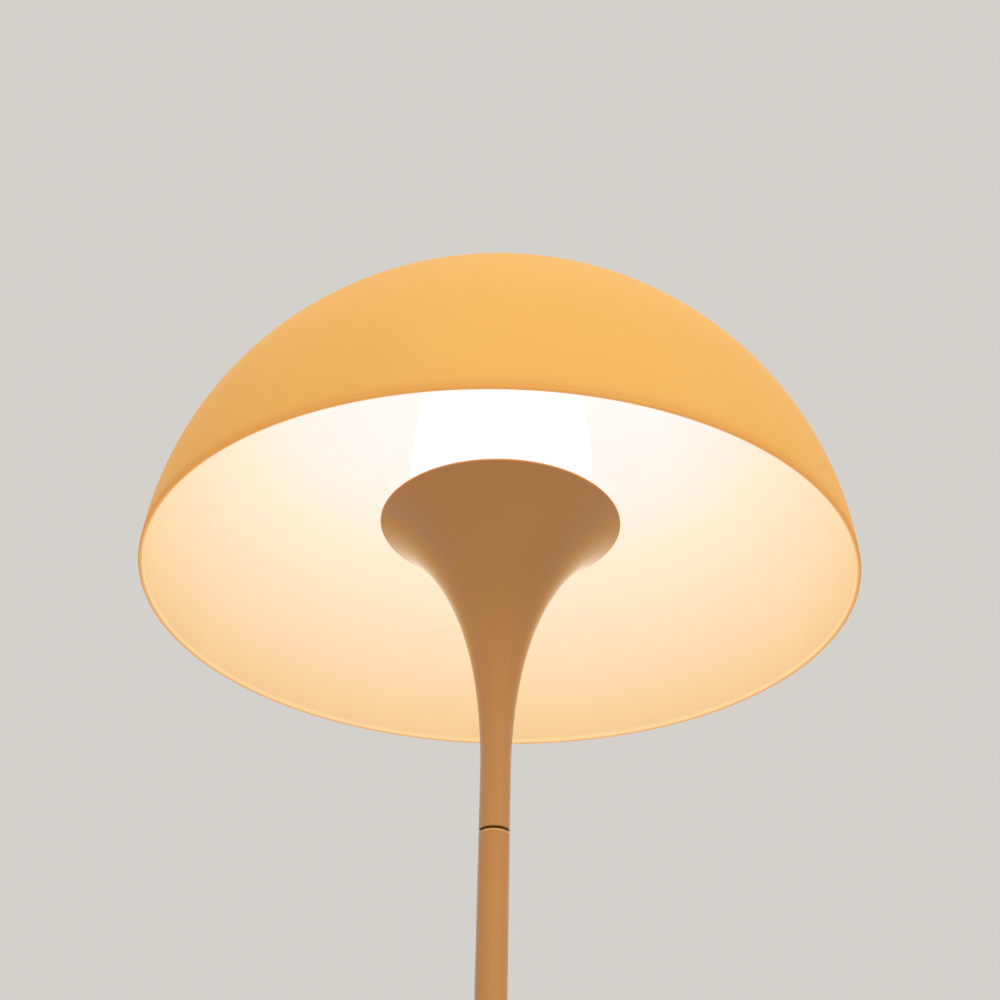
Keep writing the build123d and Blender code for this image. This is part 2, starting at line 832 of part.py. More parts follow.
with BuildPart() as holder_body:
    add(ring(cap_top, body_high, holder_bore, holder_radius))
    fillet(holder_body.edges().group_by(Axis.Z)[-1], 2 * edge_break)
holder_body.part.label = "holder_body"

core_radius = holder_radius - holder_cap_wall - hole_room
core_screw_places = [(-holder_screw_spacing / 2, 0), (holder_screw_spacing / 2, 0)]

# Ceramic core with its two terminal screws underneath
with BuildPart() as holder_core:
    add(ring(core_low, cap_top, 0.5 * contact_radius, core_radius))
    add(ring(cap_top, core_high, 0.5 * contact_radius, holder_bore - hole_room))
    with BuildSketch(Plane.XY.offset(core_low)):
        with Locations(*core_screw_places):
            Circle(holder_screw_radius + slip_fit)
    extrude(amount=holder_screw_length, mode=Mode.SUBTRACT)
holder_core.part.label = "holder_core"

with BuildPart() as holder_screws:
    with BuildSketch(Plane.XY.offset(core_low)):
        with Locations(*core_screw_places):
            Circle(holder_screw_radius)
    extrude(amount=holder_screw_length)
holder_screws.part.label = "holder_screws"

with BuildPart() as holder_shell:
    shell_radius = shell_bore + brass_wall
    add(ring(core_high, core_high + holder_shell_height, shell_bore, shell_radius))
    add(ring(core_high, core_high + brass_wall, 2 * contact_radius, shell_radius))
holder_shell.part.label = "holder_shell"

with BuildPart() as holder_contact:
    with BuildSketch(Plane.XY.offset(core_high)):
        Circle(contact_radius)
    extrude(amount=contact_height)
    fillet(holder_contact.edges().group_by(Axis.Z)[-1], 2 * edge_break)
holder_contact.part.label = "holder_contact"

# ---------------------------------------------------------------------------
# Bulb
# ---------------------------------------------------------------------------

cap_shell_top = bulb_low + bulb_cap_top
cap_shell_low = bulb_low + bulb_cap_low
insulator_top = bulb_low + bulb_insulator_top
globe_centre = bulb_low + bulb_length - bulb_radius
globe_low = bulb_low + bulb_globe_low
globe_drop = globe_centre - globe_low
globe_start = degrees(asin(globe_drop / bulb_radius))
globe_foot = bulb_radius * cos(radians(globe_start))

with BuildPart() as bulb_contact:
    with BuildSketch(Plane.XY.offset(bulb_low)):
        Circle(bulb_eyelet_radius)
    extrude(amount=bulb_eyelet_height)
    fillet(bulb_contact.edges().group_by(Axis.Z)[0], edge_break)
bulb_contact.part.label = "bulb_contact"

with BuildPart() as bulb_insulator:
    add(turned(
        (0, bulb_low + bulb_eyelet_height), (bulb_eyelet_radius, bulb_low + bulb_eyelet_height),
        (bulb_insulator_radius, insulator_top), (0, insulator_top),
    ))
bulb_insulator.part.label = "bulb_insulator"

# Screw cap
with BuildPart() as bulb_cap:
    cap_bore = bulb_cap_radius - bulb_cap_wall
    add(turned(
        (0, insulator_top), (bulb_insulator_radius, insulator_top), (bulb_cap_radius, cap_shell_low + 2),
        (bulb_cap_radius, cap_shell_top), (cap_bore, cap_shell_top), (cap_bore, cap_shell_low + 3),
        (0, cap_shell_low + 3),
    ))
bulb_cap.part.label = "bulb_cap"

bulb_outside = flare_controls(
    (bulb_neck_radius, cap_shell_top), (globe_foot, globe_low), bulb_pull, bulb_pull, 90 - globe_start)

# Housing of the driver, from the cap to the globe
with BuildPart() as bulb_housing:
    with BuildSketch(Plane.XZ):
        with BuildLine():
            housing_side = Bezier(*bulb_outside)
            housing_inside = Bezier(*inset(bulb_outside, bulb_housing_wall))
            spigot_side = cap_bore - slip_fit
            Line(housing_side @ 1, housing_inside @ 1)
            Polyline(
                housing_side @ 0, (spigot_side, cap_shell_top), (spigot_side, cap_shell_top - bulb_spigot),
                (spigot_side - bulb_housing_wall, cap_shell_top - bulb_spigot), housing_inside @ 0,
            )
        make_face()
    revolve(axis=Axis.Z)
    split(bisect_by=Plane.XY.offset(globe_low), keep=Keep.BOTTOM)
bulb_housing.part.label = "bulb_housing"

with BuildPart() as bulb_board:
    with BuildSketch(Plane.XY.offset(globe_low)):
        Circle(globe_foot - bulb_globe_wall - rest_gap)
    extrude(amount=bulb_board_thickness)
bulb_board.part.label = "bulb_board"

# Opal globe
with BuildPart() as bulb_globe:
    with BuildSketch(Plane.XZ):
        with BuildLine():
            glass_radius = bulb_radius - bulb_globe_wall
            glass_start = degrees(asin(globe_drop / glass_radius))
            globe_side = CenterArc((0, globe_centre), bulb_radius, -globe_start, 90 + globe_start)
            globe_inside = CenterArc((0, globe_centre), glass_radius, -glass_start, 90 + glass_start)
            Line(globe_side @ 0, globe_inside @ 0)
            Line(globe_side @ 1, globe_inside @ 1)
        make_face()
    revolve(axis=Axis.Z)
bulb_globe.part.label = "bulb_globe"

# ---------------------------------------------------------------------------
# One file for each piece
# ---------------------------------------------------------------------------

pieces = [
    shade, shade_pad, shade_carrier, carrier_screw, carrier_washer, carrier_nut, diffuser,
    trumpet, seat_ring, diffuser_gasket, bridge, upper_washer, upper_nut,
    pole_tube, tie_tube, upper_coupler, lower_coupler,
    foot_shell, cable_grommet, ballast, foot_spacer, lower_washer, lower_nut,
    base_plate, plate_screws, base_pad,
    terminal_block, terminal_screws, lamp_lead,
    switch_bezel, switch_module, switch_nut, switch_button, switch_spring, switch_lead,
    holder_cap, holder_body, holder_core, holder_screws, holder_shell, holder_contact,
    bulb_contact, bulb_insulator, bulb_cap, bulb_housing, bulb_board, bulb_globe,
]
os.makedirs("parts", exist_ok=True)
for piece in pieces:
    export_step(piece.part, f"parts/{piece.part.label}.step")
print("rim", round(rim_height, 2), "lip", round(lip_height, 2), "top", round(shade_centre + shade_radius, 2))
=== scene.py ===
import json
import math

import bmesh
import bpy
import numpy as np
from mathutils import Matrix, Vector

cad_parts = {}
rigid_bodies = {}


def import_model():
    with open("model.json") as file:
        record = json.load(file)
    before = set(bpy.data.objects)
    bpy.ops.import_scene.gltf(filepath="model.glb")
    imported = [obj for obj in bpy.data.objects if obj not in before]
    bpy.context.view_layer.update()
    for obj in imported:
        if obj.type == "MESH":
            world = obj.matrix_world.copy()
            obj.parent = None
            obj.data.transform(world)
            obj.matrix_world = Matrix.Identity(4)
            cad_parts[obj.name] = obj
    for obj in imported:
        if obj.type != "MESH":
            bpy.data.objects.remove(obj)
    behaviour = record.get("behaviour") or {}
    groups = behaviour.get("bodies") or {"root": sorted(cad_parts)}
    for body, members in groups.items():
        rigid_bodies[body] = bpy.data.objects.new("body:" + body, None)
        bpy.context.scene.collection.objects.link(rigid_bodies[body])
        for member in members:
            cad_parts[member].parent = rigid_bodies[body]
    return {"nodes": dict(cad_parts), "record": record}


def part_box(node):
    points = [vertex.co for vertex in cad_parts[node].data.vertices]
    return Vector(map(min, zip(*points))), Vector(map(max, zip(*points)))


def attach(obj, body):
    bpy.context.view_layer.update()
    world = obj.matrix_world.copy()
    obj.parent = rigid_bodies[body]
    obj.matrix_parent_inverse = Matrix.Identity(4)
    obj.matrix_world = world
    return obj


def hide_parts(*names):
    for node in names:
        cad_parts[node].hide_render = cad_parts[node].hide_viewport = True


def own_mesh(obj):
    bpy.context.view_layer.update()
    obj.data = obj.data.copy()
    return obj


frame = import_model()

# Blender's own start-up objects aren't part of the lamp.
for start_object in [o for o in bpy.data.objects if o.name in ("Cube", "Light", "Camera")]:
    bpy.data.objects.remove(start_object)
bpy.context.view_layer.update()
node = frame["nodes"]

# ---------------------------------------------------------------------------
# Sizes, in metres, as the part's source gives them
# ---------------------------------------------------------------------------

SHADE_CENTRE = 1.05497
SHADE_RADIUS = 0.250
SHADE_WALL = 0.003
RIM_ABOVE_CENTRE = 0.0115
RIM_ROUND = 0.0014
LOCATOR_LOW = 1.29157
LOCATOR_BORE, LOCATOR_RADIUS = 0.0404, 0.0434

DIFFUSER_SHOULDER = 1.1194
DIFFUSER_RADIUS = 0.067
DIFFUSER_WALL = 0.0025
DIFFUSER_STRAIGHT = 0.048
BELLY_RADIUS, BELLY_TURN = 0.350, math.radians(12)
CROWN_RADIUS = 0.038
SPIGOT_RADIUS, SPIGOT_DEPTH = 0.0626, 0.008
CARRIER_HOLE = 0.0018

POLE_RADIUS = 0.0102
POLE_WALL = 0.0015
FOOT_HIGH = 0.225
POLE_LOW, POLE_HIGH = 0.2268, 0.8958
EDGE_BREAK = 0.0004
TRUMPET_LOW = 0.8976
TRUMPET_NECK = 0.036
LIP_HEIGHT = 1.1276
MOUTH_RADIUS = 0.087
MOUTH_SLOPE = math.radians(34)
NECK_PULL, MOUTH_PULL = 0.067, 0.078
LIP_ROUND = 0.0006

BULB_RADIUS = 0.030
GLOBE_CENTRE = 1.1669
GLOBE_FOOT = 1.1539
THREAD_PITCH = 0.003628
THREAD_DEPTH = 0.00042
BULB_PULL = 0.013

# ---------------------------------------------------------------------------
# Camera and light
# ---------------------------------------------------------------------------

CAMERA_PITCH = 0.5693
CAMERA_ROLL = 0.0205
CAMERA_TURN = -0.0007
CAMERA_BACK, CAMERA_BELOW_RIM = 0.94539, 0.52104
CAMERA_AT = Vector((0.0, -CAMERA_BACK, SHADE_CENTRE + RIM_ABOVE_CENTRE - CAMERA_BELOW_RIM))
FOCAL_PIXELS = 1531.6
FRAME_PIXELS = 1000
SENSOR_WIDTH = 36.0

ahead = Vector((
    math.sin(CAMERA_TURN) * math.cos(CAMERA_PITCH),
    math.cos(CAMERA_TURN) * math.cos(CAMERA_PITCH),
    math.sin(CAMERA_PITCH),
))
level_right = ahead.cross(Vector((0, 0, 1))).normalized()
level_up = level_right.cross(ahead)
right = math.cos(CAMERA_ROLL) * level_right + math.sin(CAMERA_ROLL) * level_up
up = math.cos(CAMERA_ROLL) * level_up - math.sin(CAMERA_ROLL) * level_right
camera_data = bpy.data.cameras.new("camera")
camera_data.sensor_width = SENSOR_WIDTH
camera_data.lens = SENSOR_WIDTH * FOCAL_PIXELS / FRAME_PIXELS
camera = bpy.data.objects.new("camera", camera_data)
camera.matrix_world = Matrix((right, up, -ahead)).transposed().to_4x4()
camera.location = CAMERA_AT
bpy.context.scene.collection.objects.link(camera)
bpy.context.scene.camera = camera
bpy.context.scene.view_settings.view_transform = "Standard"

BACKDROP = (0.66, 0.635, 0.60)
SKY_LIGHT = (1.0, 0.99, 0.975)
SKY_STRENGTH = 0.46


def soft_light(name, place, target, size, watts, mirrored=True):
    """A soft studio panel that faces a point. Gloss shows it only if it is mirrored."""
    data = bpy.data.lights.new(name, "AREA")
    data.shape = "RECTANGLE"
    data.size, data.size_y = size
    data.energy = watts
    lamp = bpy.data.objects.new(name, data)
    lamp.location = place
    lamp.rotation_euler = (Vector(target) - Vector(place)).to_track_quat("-Z", "Y").to_euler()
    lamp.visible_glossy = mirrored
    bpy.context.scene.collection.objects.link(lamp)


MIDDLE = (0, 0, 0.75)
KEY_PLACE, FILL_PLACE, BACK_PLACE = (1.7, -3.2, 2.3), (-2.3, -2.9, 1.5), (-0.6, 3.0, 2.7)
PANEL, BACK_PANEL = (3.0, 3.0), (3.0, 2.4)
soft_light("key", KEY_PLACE, MIDDLE, PANEL, watts=62, mirrored=False)
soft_light("sheen", KEY_PLACE, MIDDLE, PANEL, watts=28)
soft_light("fill", FILL_PLACE, MIDDLE, PANEL, watts=26, mirrored=False)
soft_light("back", BACK_PLACE, MIDDLE, BACK_PANEL, watts=36, mirrored=False)

world = bpy.data.worlds.new("studio")
world.use_nodes = True
bpy.context.scene.world = world
tree = world.node_tree
tree.nodes.clear()
sky = tree.nodes.new("ShaderNodeBackground")
sky.inputs["Color"].default_value = (*SKY_LIGHT, 1)
sky.inputs["Strength"].default_value = SKY_STRENGTH
backdrop = tree.nodes.new("ShaderNodeBackground")
backdrop.inputs["Color"].default_value = (*BACKDROP, 1)
paths = tree.nodes.new("ShaderNodeLightPath")
seen = tree.nodes.new("ShaderNodeMath")
seen.operation = "MAXIMUM"
seen_through = tree.nodes.new("ShaderNodeMath")
seen_through.operation = "MAXIMUM"
choose = tree.nodes.new("ShaderNodeMixShader")
world_out = tree.nodes.new("ShaderNodeOutputWorld")
for a, b in (
    (paths.outputs["Is Camera Ray"], seen.inputs[0]),
    (paths.outputs["Is Glossy Ray"], seen.inputs[1]),
    (seen.outputs[0], seen_through.inputs[0]),
    (paths.outputs["Is Transmission Ray"], seen_through.inputs[1]),
    (seen_through.outputs[0], choose.inputs["Fac"]),
    (sky.outputs[0], choose.inputs[1]),
    (backdrop.outputs[0], choose.inputs[2]),
    (choose.outputs[0], world_out.inputs["Surface"]),
):
    tree.links.new(a, b)


# ---------------------------------------------------------------------------
# Materials
# ---------------------------------------------------------------------------

# Noise lies mostly between these two values, so what follows it is spread from one to the other.
NOISE_LOW, NOISE_HIGH = 0.3, 0.7
NOISE_ROUGHNESS = 0.55
TINT_REACH = 0.25


class Surface:
    """A procedural material: one Principled shader, fed by noise, ramps and bumps in object space."""

    def __init__(self, name, colour, roughness, **sockets):
        self.material = bpy.data.materials.new(name)
        self.material.use_nodes = True
        self.tree = self.material.node_tree
        self.shader = self.tree.nodes["Principled BSDF"]
        self.place = self.new("ShaderNodeTexCoord").outputs["Object"]
        self.shader.inputs["Base Color"].default_value = (*colour, 1)
        self.shader.inputs["Roughness"].default_value = roughness
        for socket, value in sockets.items():
            self.shader.inputs[socket.replace("_", " ")].default_value = value

    def new(self, kind, **settings):
        """A new node with its settings."""
        made = self.tree.nodes.new(kind)
        for key, value in settings.items():
            setattr(made, key, value)
        return made

    def link(self, source, target):
        self.tree.links.new(source, target)

    def noise(self, scale, detail=3.0):
        made = self.new("ShaderNodeTexNoise")
        made.inputs["Scale"].default_value = scale
        made.inputs["Detail"].default_value = detail
        made.inputs["Roughness"].default_value = NOISE_ROUGHNESS
        self.link(self.place, made.inputs["Vector"])
        return made.outputs["Fac"]

    def cells(self, scale):
        made = self.new("ShaderNodeTexVoronoi")
        made.inputs["Scale"].default_value = scale
        self.link(self.place, made.inputs["Vector"])
        return made.outputs["Distance"]

    def number(self, operation, *values):
        made = self.new("ShaderNodeMath", operation=operation)
        for slot, value in zip(made.inputs, values):
            if isinstance(value, (int, float)):
                slot.default_value = value
            else:
                self.link(value, slot)
        return made.outputs[0]

    def spread(self, fac, low, high, start=0.0, end=1.0, smooth=False):
        """A factor between start and end, mapped to a range of numbers."""
        made = self.new("ShaderNodeMapRange", interpolation_type="SMOOTHSTEP" if smooth else "LINEAR")
        self.link(fac, made.inputs["Value"])
        for socket, value in (("From Min", start), ("From Max", end), ("To Min", low), ("To Max", high)):
            made.inputs[socket].default_value = value
        return made.outputs["Result"]

    def ramp(self, fac, stops):
        made = self.new("ShaderNodeValToRGB")
        elements = made.color_ramp.elements
        elements[0].position, elements[1].position = stops[0][0], stops[-1][0]
        elements[0].color, elements[1].color = (*stops[0][1], 1), (*stops[-1][1], 1)
        for position, colour in stops[1:-1]:
            elements.new(position).color = (*colour, 1)
        self.link(fac, made.inputs["Fac"])
        return made.outputs["Color"]

    def mix(self, fac, first, second, blend="MIX"):
        made = self.new("ShaderNodeMix", data_type="RGBA", blend_type=blend)
        for slot, value in ((made.inputs[0], fac), (made.inputs[6], first), (made.inputs[7], second)):
            if isinstance(value, (int, float)):
                slot.default_value = value
            elif isinstance(value, tuple):
                slot.default_value = (*value, 1)
            else:
                self.link(value, slot)
        return made.outputs[2]

    def split(self):
        """X, Y and Z of the object coordinates."""
        made = self.new("ShaderNodeSeparateXYZ")
        self.link(self.place, made.inputs[0])
        return made.outputs

    def distance_to(self, point):
        made = self.new("ShaderNodeVectorMath", operation="DISTANCE")
        self.link(self.place, made.inputs[0])
        made.inputs[1].default_value = point
        return made.outputs["Value"]

    def colour(self, source):
        self.link(source, self.shader.inputs["Base Color"])

    def overlay(self, fac, tone):
        """Lays a tone over the colour that is linked so far."""
        present = self.shader.inputs["Base Color"].links[0].from_socket
        self.colour(self.mix(fac, present, tone))

    def tint(self, scale, first, second):
        """Two near colours, blended by large soft noise."""
        fac = self.spread(self.noise(scale), 0, 1, 0.5 - TINT_REACH, 0.5 + TINT_REACH)
        self.colour(self.mix(fac, first, second))

    def rough(self, scale, low, high):
        """Roughness that varies between two values."""
        fac = self.noise(scale, 4.0)
        self.link(self.spread(fac, low, high, NOISE_LOW, NOISE_HIGH), self.shader.inputs["Roughness"])

    def bump(self, height, strength, depth):
        """Surface relief from a height between 0 and 1, with its depth in metres."""
        made = self.new("ShaderNodeBump")
        made.inputs["Strength"].default_value = strength
        made.inputs["Distance"].default_value = depth
        self.link(height, made.inputs["Height"])
        normal = self.shader.inputs["Normal"]
        if normal.is_linked:
            self.link(normal.links[0].from_socket, made.inputs["Normal"])
        self.link(made.outputs["Normal"], normal)

    def glow(self, source):
        self.link(source, self.shader.inputs["Emission Color"])
        self.shader.inputs["Emission Strength"].default_value = 1.0


def paint(name, light, dark, roughness=0.32):
    """Glossy sprayed lacquer: slight orange peel, soft changes of tone and of gloss."""
    made = Surface(name, light, roughness, Specular_IOR_Level=0.1,
                   Coat_Weight=1.0, Coat_Roughness=0.012, Coat_IOR=1.55)
    made.tint(9.0, light, dark)
    made.rough(60.0, roughness - 0.03, roughness + 0.05)
    made.bump(made.noise(260.0, 2.0), 0.025, 0.0003)
    return made


def metal(name, light, dark, roughness, grain=900.0):
    """Bare or plated metal with fine marks."""
    made = Surface(name, light, roughness, Metallic=1.0)
    made.tint(70.0, light, dark)
    made.rough(240.0, roughness - 0.07, roughness + 0.10)
    made.bump(made.noise(grain), 0.12, 0.0002)
    return made


def plastic(name, light, dark, roughness, grain=1400.0, depth=0.0002):
    """Moulded plastic with a fine spark-eroded grain."""
    made = Surface(name, light, roughness)
    made.tint(40.0, light, dark)
    made.rough(300.0, roughness - 0.06, roughness + 0.08)
    made.bump(made.noise(grain, 2.0), 0.25, depth)
    return made


# Opal shade. Its glow depends on the height above the rim, and on how deep in the wall a point lies. The
# shares of the wall are counted from its inside: first the rim's tone takes over, then the outside's.
RIM_Z, SHADE_TOP = SHADE_CENTRE + RIM_ABOVE_CENTRE, SHADE_CENTRE + SHADE_RADIUS
RIM_SHARES, OUTSIDE_SHARES = (0.01, 0.12), (0.15, 0.85)
CLOUD_LOW, CLOUD_HIGH = 0.985, 1.015
# Painted warm light: the base colours are the white opal tinted with the lamp's warm light.
OPAL_INSIDE_WARM_LIT, OPAL_OUTSIDE_WARM_LIT = (0.60, 0.46, 0.30), (0.57, 0.335, 0.095)
RIM_GLOW = (0.51, 0.22, 0.04)
opal = Surface("opal_shade", OPAL_OUTSIDE_WARM_LIT, 0.48, Specular_IOR_Level=0.08)
shade_level = opal.spread(opal.split()[2], 0.0, 1.0, RIM_Z, SHADE_TOP)
from_centre = opal.distance_to((0, 0, SHADE_CENTRE))
through = opal.spread(from_centre, 0.0, 1.0, SHADE_RADIUS - SHADE_WALL, SHADE_RADIUS)
in_rim = opal.spread(through, 0.0, 1.0, *RIM_SHARES, smooth=True)
outside = opal.spread(through, 0.0, 1.0, *OUTSIDE_SHARES, smooth=True)
outside_glow = opal.ramp(shade_level, [
    (0.000, (0.34, 0.100, 0.012)),
    (0.004, (0.32, 0.085, 0.006)),
    (0.009, (0.265, 0.060, 0.002)),
    (0.016, (0.275, 0.078, 0.006)),
    (0.030, (0.315, 0.122, 0.018)),
    (0.060, (0.33, 0.134, 0.023)),
    (0.300, (0.36, 0.155, 0.030)),
    (0.500, (0.39, 0.185, 0.041)),
    (0.850, (0.38, 0.180, 0.040)),
    (1.000, (0.34, 0.165, 0.036)),
])
inside_glow = opal.ramp(shade_level, [
    (0.000, (0.58, 0.390, 0.165)),
    (0.009, (0.57, 0.395, 0.180)),
    (0.018, (0.46, 0.295, 0.132)),
    (0.085, (0.49, 0.345, 0.172)),
    (0.250, (0.53, 0.420, 0.270)),
    (0.420, (0.57, 0.480, 0.370)),
    (0.590, (0.61, 0.535, 0.475)),
    (0.760, (0.63, 0.595, 0.670)),
    (1.000, (0.64, 0.620, 0.740)),
])
cloud = opal.spread(opal.noise(14.0, 2.0), CLOUD_LOW, CLOUD_HIGH, NOISE_LOW, NOISE_HIGH)
glow = opal.mix(outside, opal.mix(in_rim, inside_glow, RIM_GLOW), outside_glow)
opal.glow(opal.mix(1.0, glow, cloud, "MULTIPLY"))
opal.colour(opal.mix(outside, OPAL_INSIDE_WARM_LIT, OPAL_OUTSIDE_WARM_LIT))
opal.rough(90.0, 0.44, 0.54)
opal.bump(opal.noise(160.0, 2.0), 0.04, 0.0005)

# Opal diffuser, brightest round the bulb. The ramp reaches up to the top of the carrier, which is of the same
# plastic.
DIFFUSER_GLOW_LOW, DIFFUSER_GLOW_HIGH = DIFFUSER_SHOULDER - SPIGOT_DEPTH, 1.2966
diffusing = Surface("opal_diffuser", (0.60, 0.50, 0.38), 0.38, Specular_IOR_Level=0.35)
diffuser_level = diffusing.spread(diffusing.split()[2], 0.0, 1.0, DIFFUSER_GLOW_LOW, DIFFUSER_GLOW_HIGH)
diffusing.glow(diffusing.ramp(diffuser_level, [
    (0.00, (0.50, 0.42, 0.32)),
    (0.08, (0.58, 0.56, 0.54)),
    (0.14, (0.64, 0.72, 0.86)),
    (0.28, (0.62, 0.66, 0.78)),
    (0.55, (0.60, 0.62, 0.72)),
    (0.80, (0.56, 0.52, 0.50)),
    (0.88, (0.54, 0.45, 0.36)),
    (1.00, (0.50, 0.40, 0.30)),
]))
diffusing.tint(12.0, (0.56, 0.46, 0.34), (0.52, 0.42, 0.30))
diffusing.rough(110.0, 0.32, 0.42)
diffusing.bump(diffusing.noise(260.0, 2.0), 0.05, 0.0004)

# Lacquer of the trumpet, pole and foot: white lacquer, coloured tan with the lamp's warm light painted in. On
# the pole and the foot it is painted darker and warmer than on the trumpet, as painted shade. It has painted
# highlights on the upper edge of the foot and of the pole, and on the trumpet's lip.
# Painted warm light: these tans stand in for the lamp's light falling on white lacquer.
LACQUER, LACQUER_DARK = (0.54, 0.248, 0.062), (0.52, 0.236, 0.058)
# Painted shade: a darker, warmer copy of the lacquer for the pole and the foot.
LACQUER_POLE_SHADE = (0.515, 0.226, 0.050)
# Painted highlights: a paler tone for the upper edges of the foot and the pole, an orange one for the
# trumpet's lip.
LACQUER_EDGE_HIGHLIGHT, LACQUER_LIP_HIGHLIGHT = (0.74, 0.40, 0.14), (0.88, 0.36, 0.07)
LIP_HIGHLIGHT_REACH = 0.4 * LIP_ROUND
HIGHLIGHT_FADE = 2.5
lacquer = paint("white_paint", LACQUER, LACQUER_DARK)
lacquer_level = lacquer.split()[2]
# Painted shade: below the pole's top the lacquer turns to its darker, warmer copy.
lacquer.overlay(lacquer.spread(lacquer_level, 1.0, 0.0, POLE_HIGH, POLE_HIGH + NECK_PULL, True), LACQUER_POLE_SHADE)
# Painted highlights: narrow bands of these tones at the edges and at the lip.
for edge, reach, highlight_tone in (
    (FOOT_HIGH - EDGE_BREAK, EDGE_BREAK, LACQUER_EDGE_HIGHLIGHT),
    (POLE_HIGH - EDGE_BREAK, EDGE_BREAK, LACQUER_EDGE_HIGHLIGHT),
    (LIP_HEIGHT, LIP_HIGHLIGHT_REACH, LACQUER_LIP_HIGHLIGHT),
):
    drop = lacquer.number("ABSOLUTE", lacquer.number("SUBTRACT", lacquer_level, edge))
    lacquer.overlay(lacquer.spread(drop, 1.0, 0.0, reach, HIGHLIGHT_FADE * reach, True), highlight_tone)

# Painted shade: the collars in the seams between trumpet, pole and foot are coloured as dark as the shadow in
# the gaps
seam_shade_paint = Surface("shadow_paint", (0.090, 0.036, 0.005), 0.7, Specular_IOR_Level=0.05)
seam_shade_paint.tint(40.0, (0.096, 0.039, 0.006), (0.080, 0.032, 0.004))
seam_shade_paint.rough(200.0, 0.62, 0.76)
seam_shade_paint.bump(seam_shade_paint.noise(900.0, 2.0), 0.1, 0.0002)

zinc = metal("zinc_steel", (0.66, 0.66, 0.67), (0.58, 0.58, 0.60), 0.30)
brass = metal("brass", (0.80, 0.58, 0.27), (0.72, 0.50, 0.22), 0.26)
cap_metal = metal("bulb_metal", (0.78, 0.78, 0.79), (0.70, 0.70, 0.72), 0.24)
chrome = metal("switch_chrome", (0.72, 0.72, 0.73), (0.68, 0.68, 0.70), 0.14, grain=1600.0)
spring_wire = metal("spring_steel", (0.52, 0.52, 0.54), (0.44, 0.44, 0.46), 0.28)

iron = Surface("cast_iron", (0.11, 0.11, 0.115), 0.75, Metallic=0.6)
iron.tint(60.0, (0.13, 0.125, 0.12), (0.08, 0.08, 0.085))
iron.bump(iron.cells(520.0), 0.5, 0.0006)
iron.bump(iron.noise(1500.0, 4.0), 0.4, 0.0003)

powder = Surface("plate_steel", (0.035, 0.035, 0.036), 0.55)
powder.tint(30.0, (0.040, 0.040, 0.041), (0.028, 0.028, 0.029))
powder.rough(150.0, 0.48, 0.64)
powder.bump(powder.noise(1100.0, 3.0), 0.35, 0.0003)

rubber = plastic("black_rubber", (0.028, 0.028, 0.028), (0.020, 0.020, 0.020), 0.78, 900.0, 0.0004)
pale_rubber = plastic("white_rubber", (0.60, 0.50, 0.38), (0.55, 0.45, 0.34), 0.66, 900.0, 0.0003)
silicone = Surface("clear_silicone", (0.74, 0.66, 0.54), 0.45, Transmission_Weight=0.25, IOR=1.41)
silicone.tint(50.0, (0.76, 0.68, 0.56), (0.68, 0.60, 0.48))
silicone.rough(240.0, 0.40, 0.55)
silicone.bump(silicone.noise(800.0, 2.0), 0.15, 0.0002)
moulding = plastic("white_moulding", (0.66, 0.52, 0.37), (0.60, 0.47, 0.33), 0.46)
sheath = plastic("white_sheath", (0.74, 0.72, 0.68), (0.68, 0.66, 0.62), 0.42, 700.0)
holder_plastic = plastic("holder_plastic", (0.70, 0.60, 0.47), (0.64, 0.54, 0.42), 0.40)
ceramic = plastic("ceramic", (0.78, 0.74, 0.66), (0.70, 0.66, 0.58), 0.60, 1900.0)
glass_bead = plastic("bulb_black", (0.016, 0.016, 0.018), (0.010, 0.010, 0.011), 0.12, 300.0)
bulb_plastic = plastic("bulb_plastic", (0.78, 0.74, 0.66), (0.74, 0.70, 0.62), 0.30)
board = plastic("bulb_board", (0.82, 0.80, 0.74), (0.76, 0.74, 0.68), 0.35)
button_plastic = plastic("switch_plastic", (0.66, 0.52, 0.37), (0.61, 0.48, 0.34), 0.28)
black_plastic = plastic("black_plastic", (0.030, 0.030, 0.030), (0.022, 0.022, 0.022), 0.45)

globe = Surface("bulb_opal", (0.52, 0.48, 0.42), 0.30)
globe_level = globe.spread(globe.split()[2], 0.0, 1.0, GLOBE_FOOT, GLOBE_CENTRE + BULB_RADIUS)
globe.glow(globe.ramp(globe_level, [
    (0.00, (0.36, 0.27, 0.16)),
    (0.25, (0.52, 0.44, 0.33)),
    (0.70, (0.56, 0.50, 0.41)),
    (1.00, (0.50, 0.43, 0.34)),
]))
globe.rough(160.0, 0.24, 0.36)
globe.bump(globe.noise(600.0, 2.0), 0.06, 0.0002)

SLOT_SURFACE = {
    "opal_shade": opal, "opal_diffuser": diffusing, "white_paint": lacquer, "shadow_paint": seam_shade_paint,
    "clear_silicone": silicone, "zinc_steel": zinc, "white_moulding": moulding, "cast_iron": iron,
    "plate_steel": powder, "black_rubber": rubber, "white_rubber": pale_rubber, "white_sheath": sheath,
    "holder_plastic": holder_plastic, "ceramic": ceramic, "brass": brass, "bulb_metal": cap_metal,
    "bulb_black": glass_bead, "bulb_plastic": bulb_plastic, "bulb_board": board, "bulb_opal": globe,
    "switch_chrome": chrome, "switch_plastic": button_plastic, "black_plastic": black_plastic,
    "spring_steel": spring_wire,
}
for part in frame["record"]["subparts"]:
    for place in node[part["node"]].material_slots:
        place.material = SLOT_SURFACE[part["material_slot"]].material


# ---------------------------------------------------------------------------
# Shapes
# ---------------------------------------------------------------------------

def arc(centre, radius, start, end, steps):
    """Points on an arc in the (radius, height) plane, with angles in radians."""
    return [
        (centre[0] + radius * math.cos(start + (end - start) * i / steps),
         centre[1] + radius * math.sin(start + (end - start) * i / steps))
        for i in range(steps + 1)
    ]


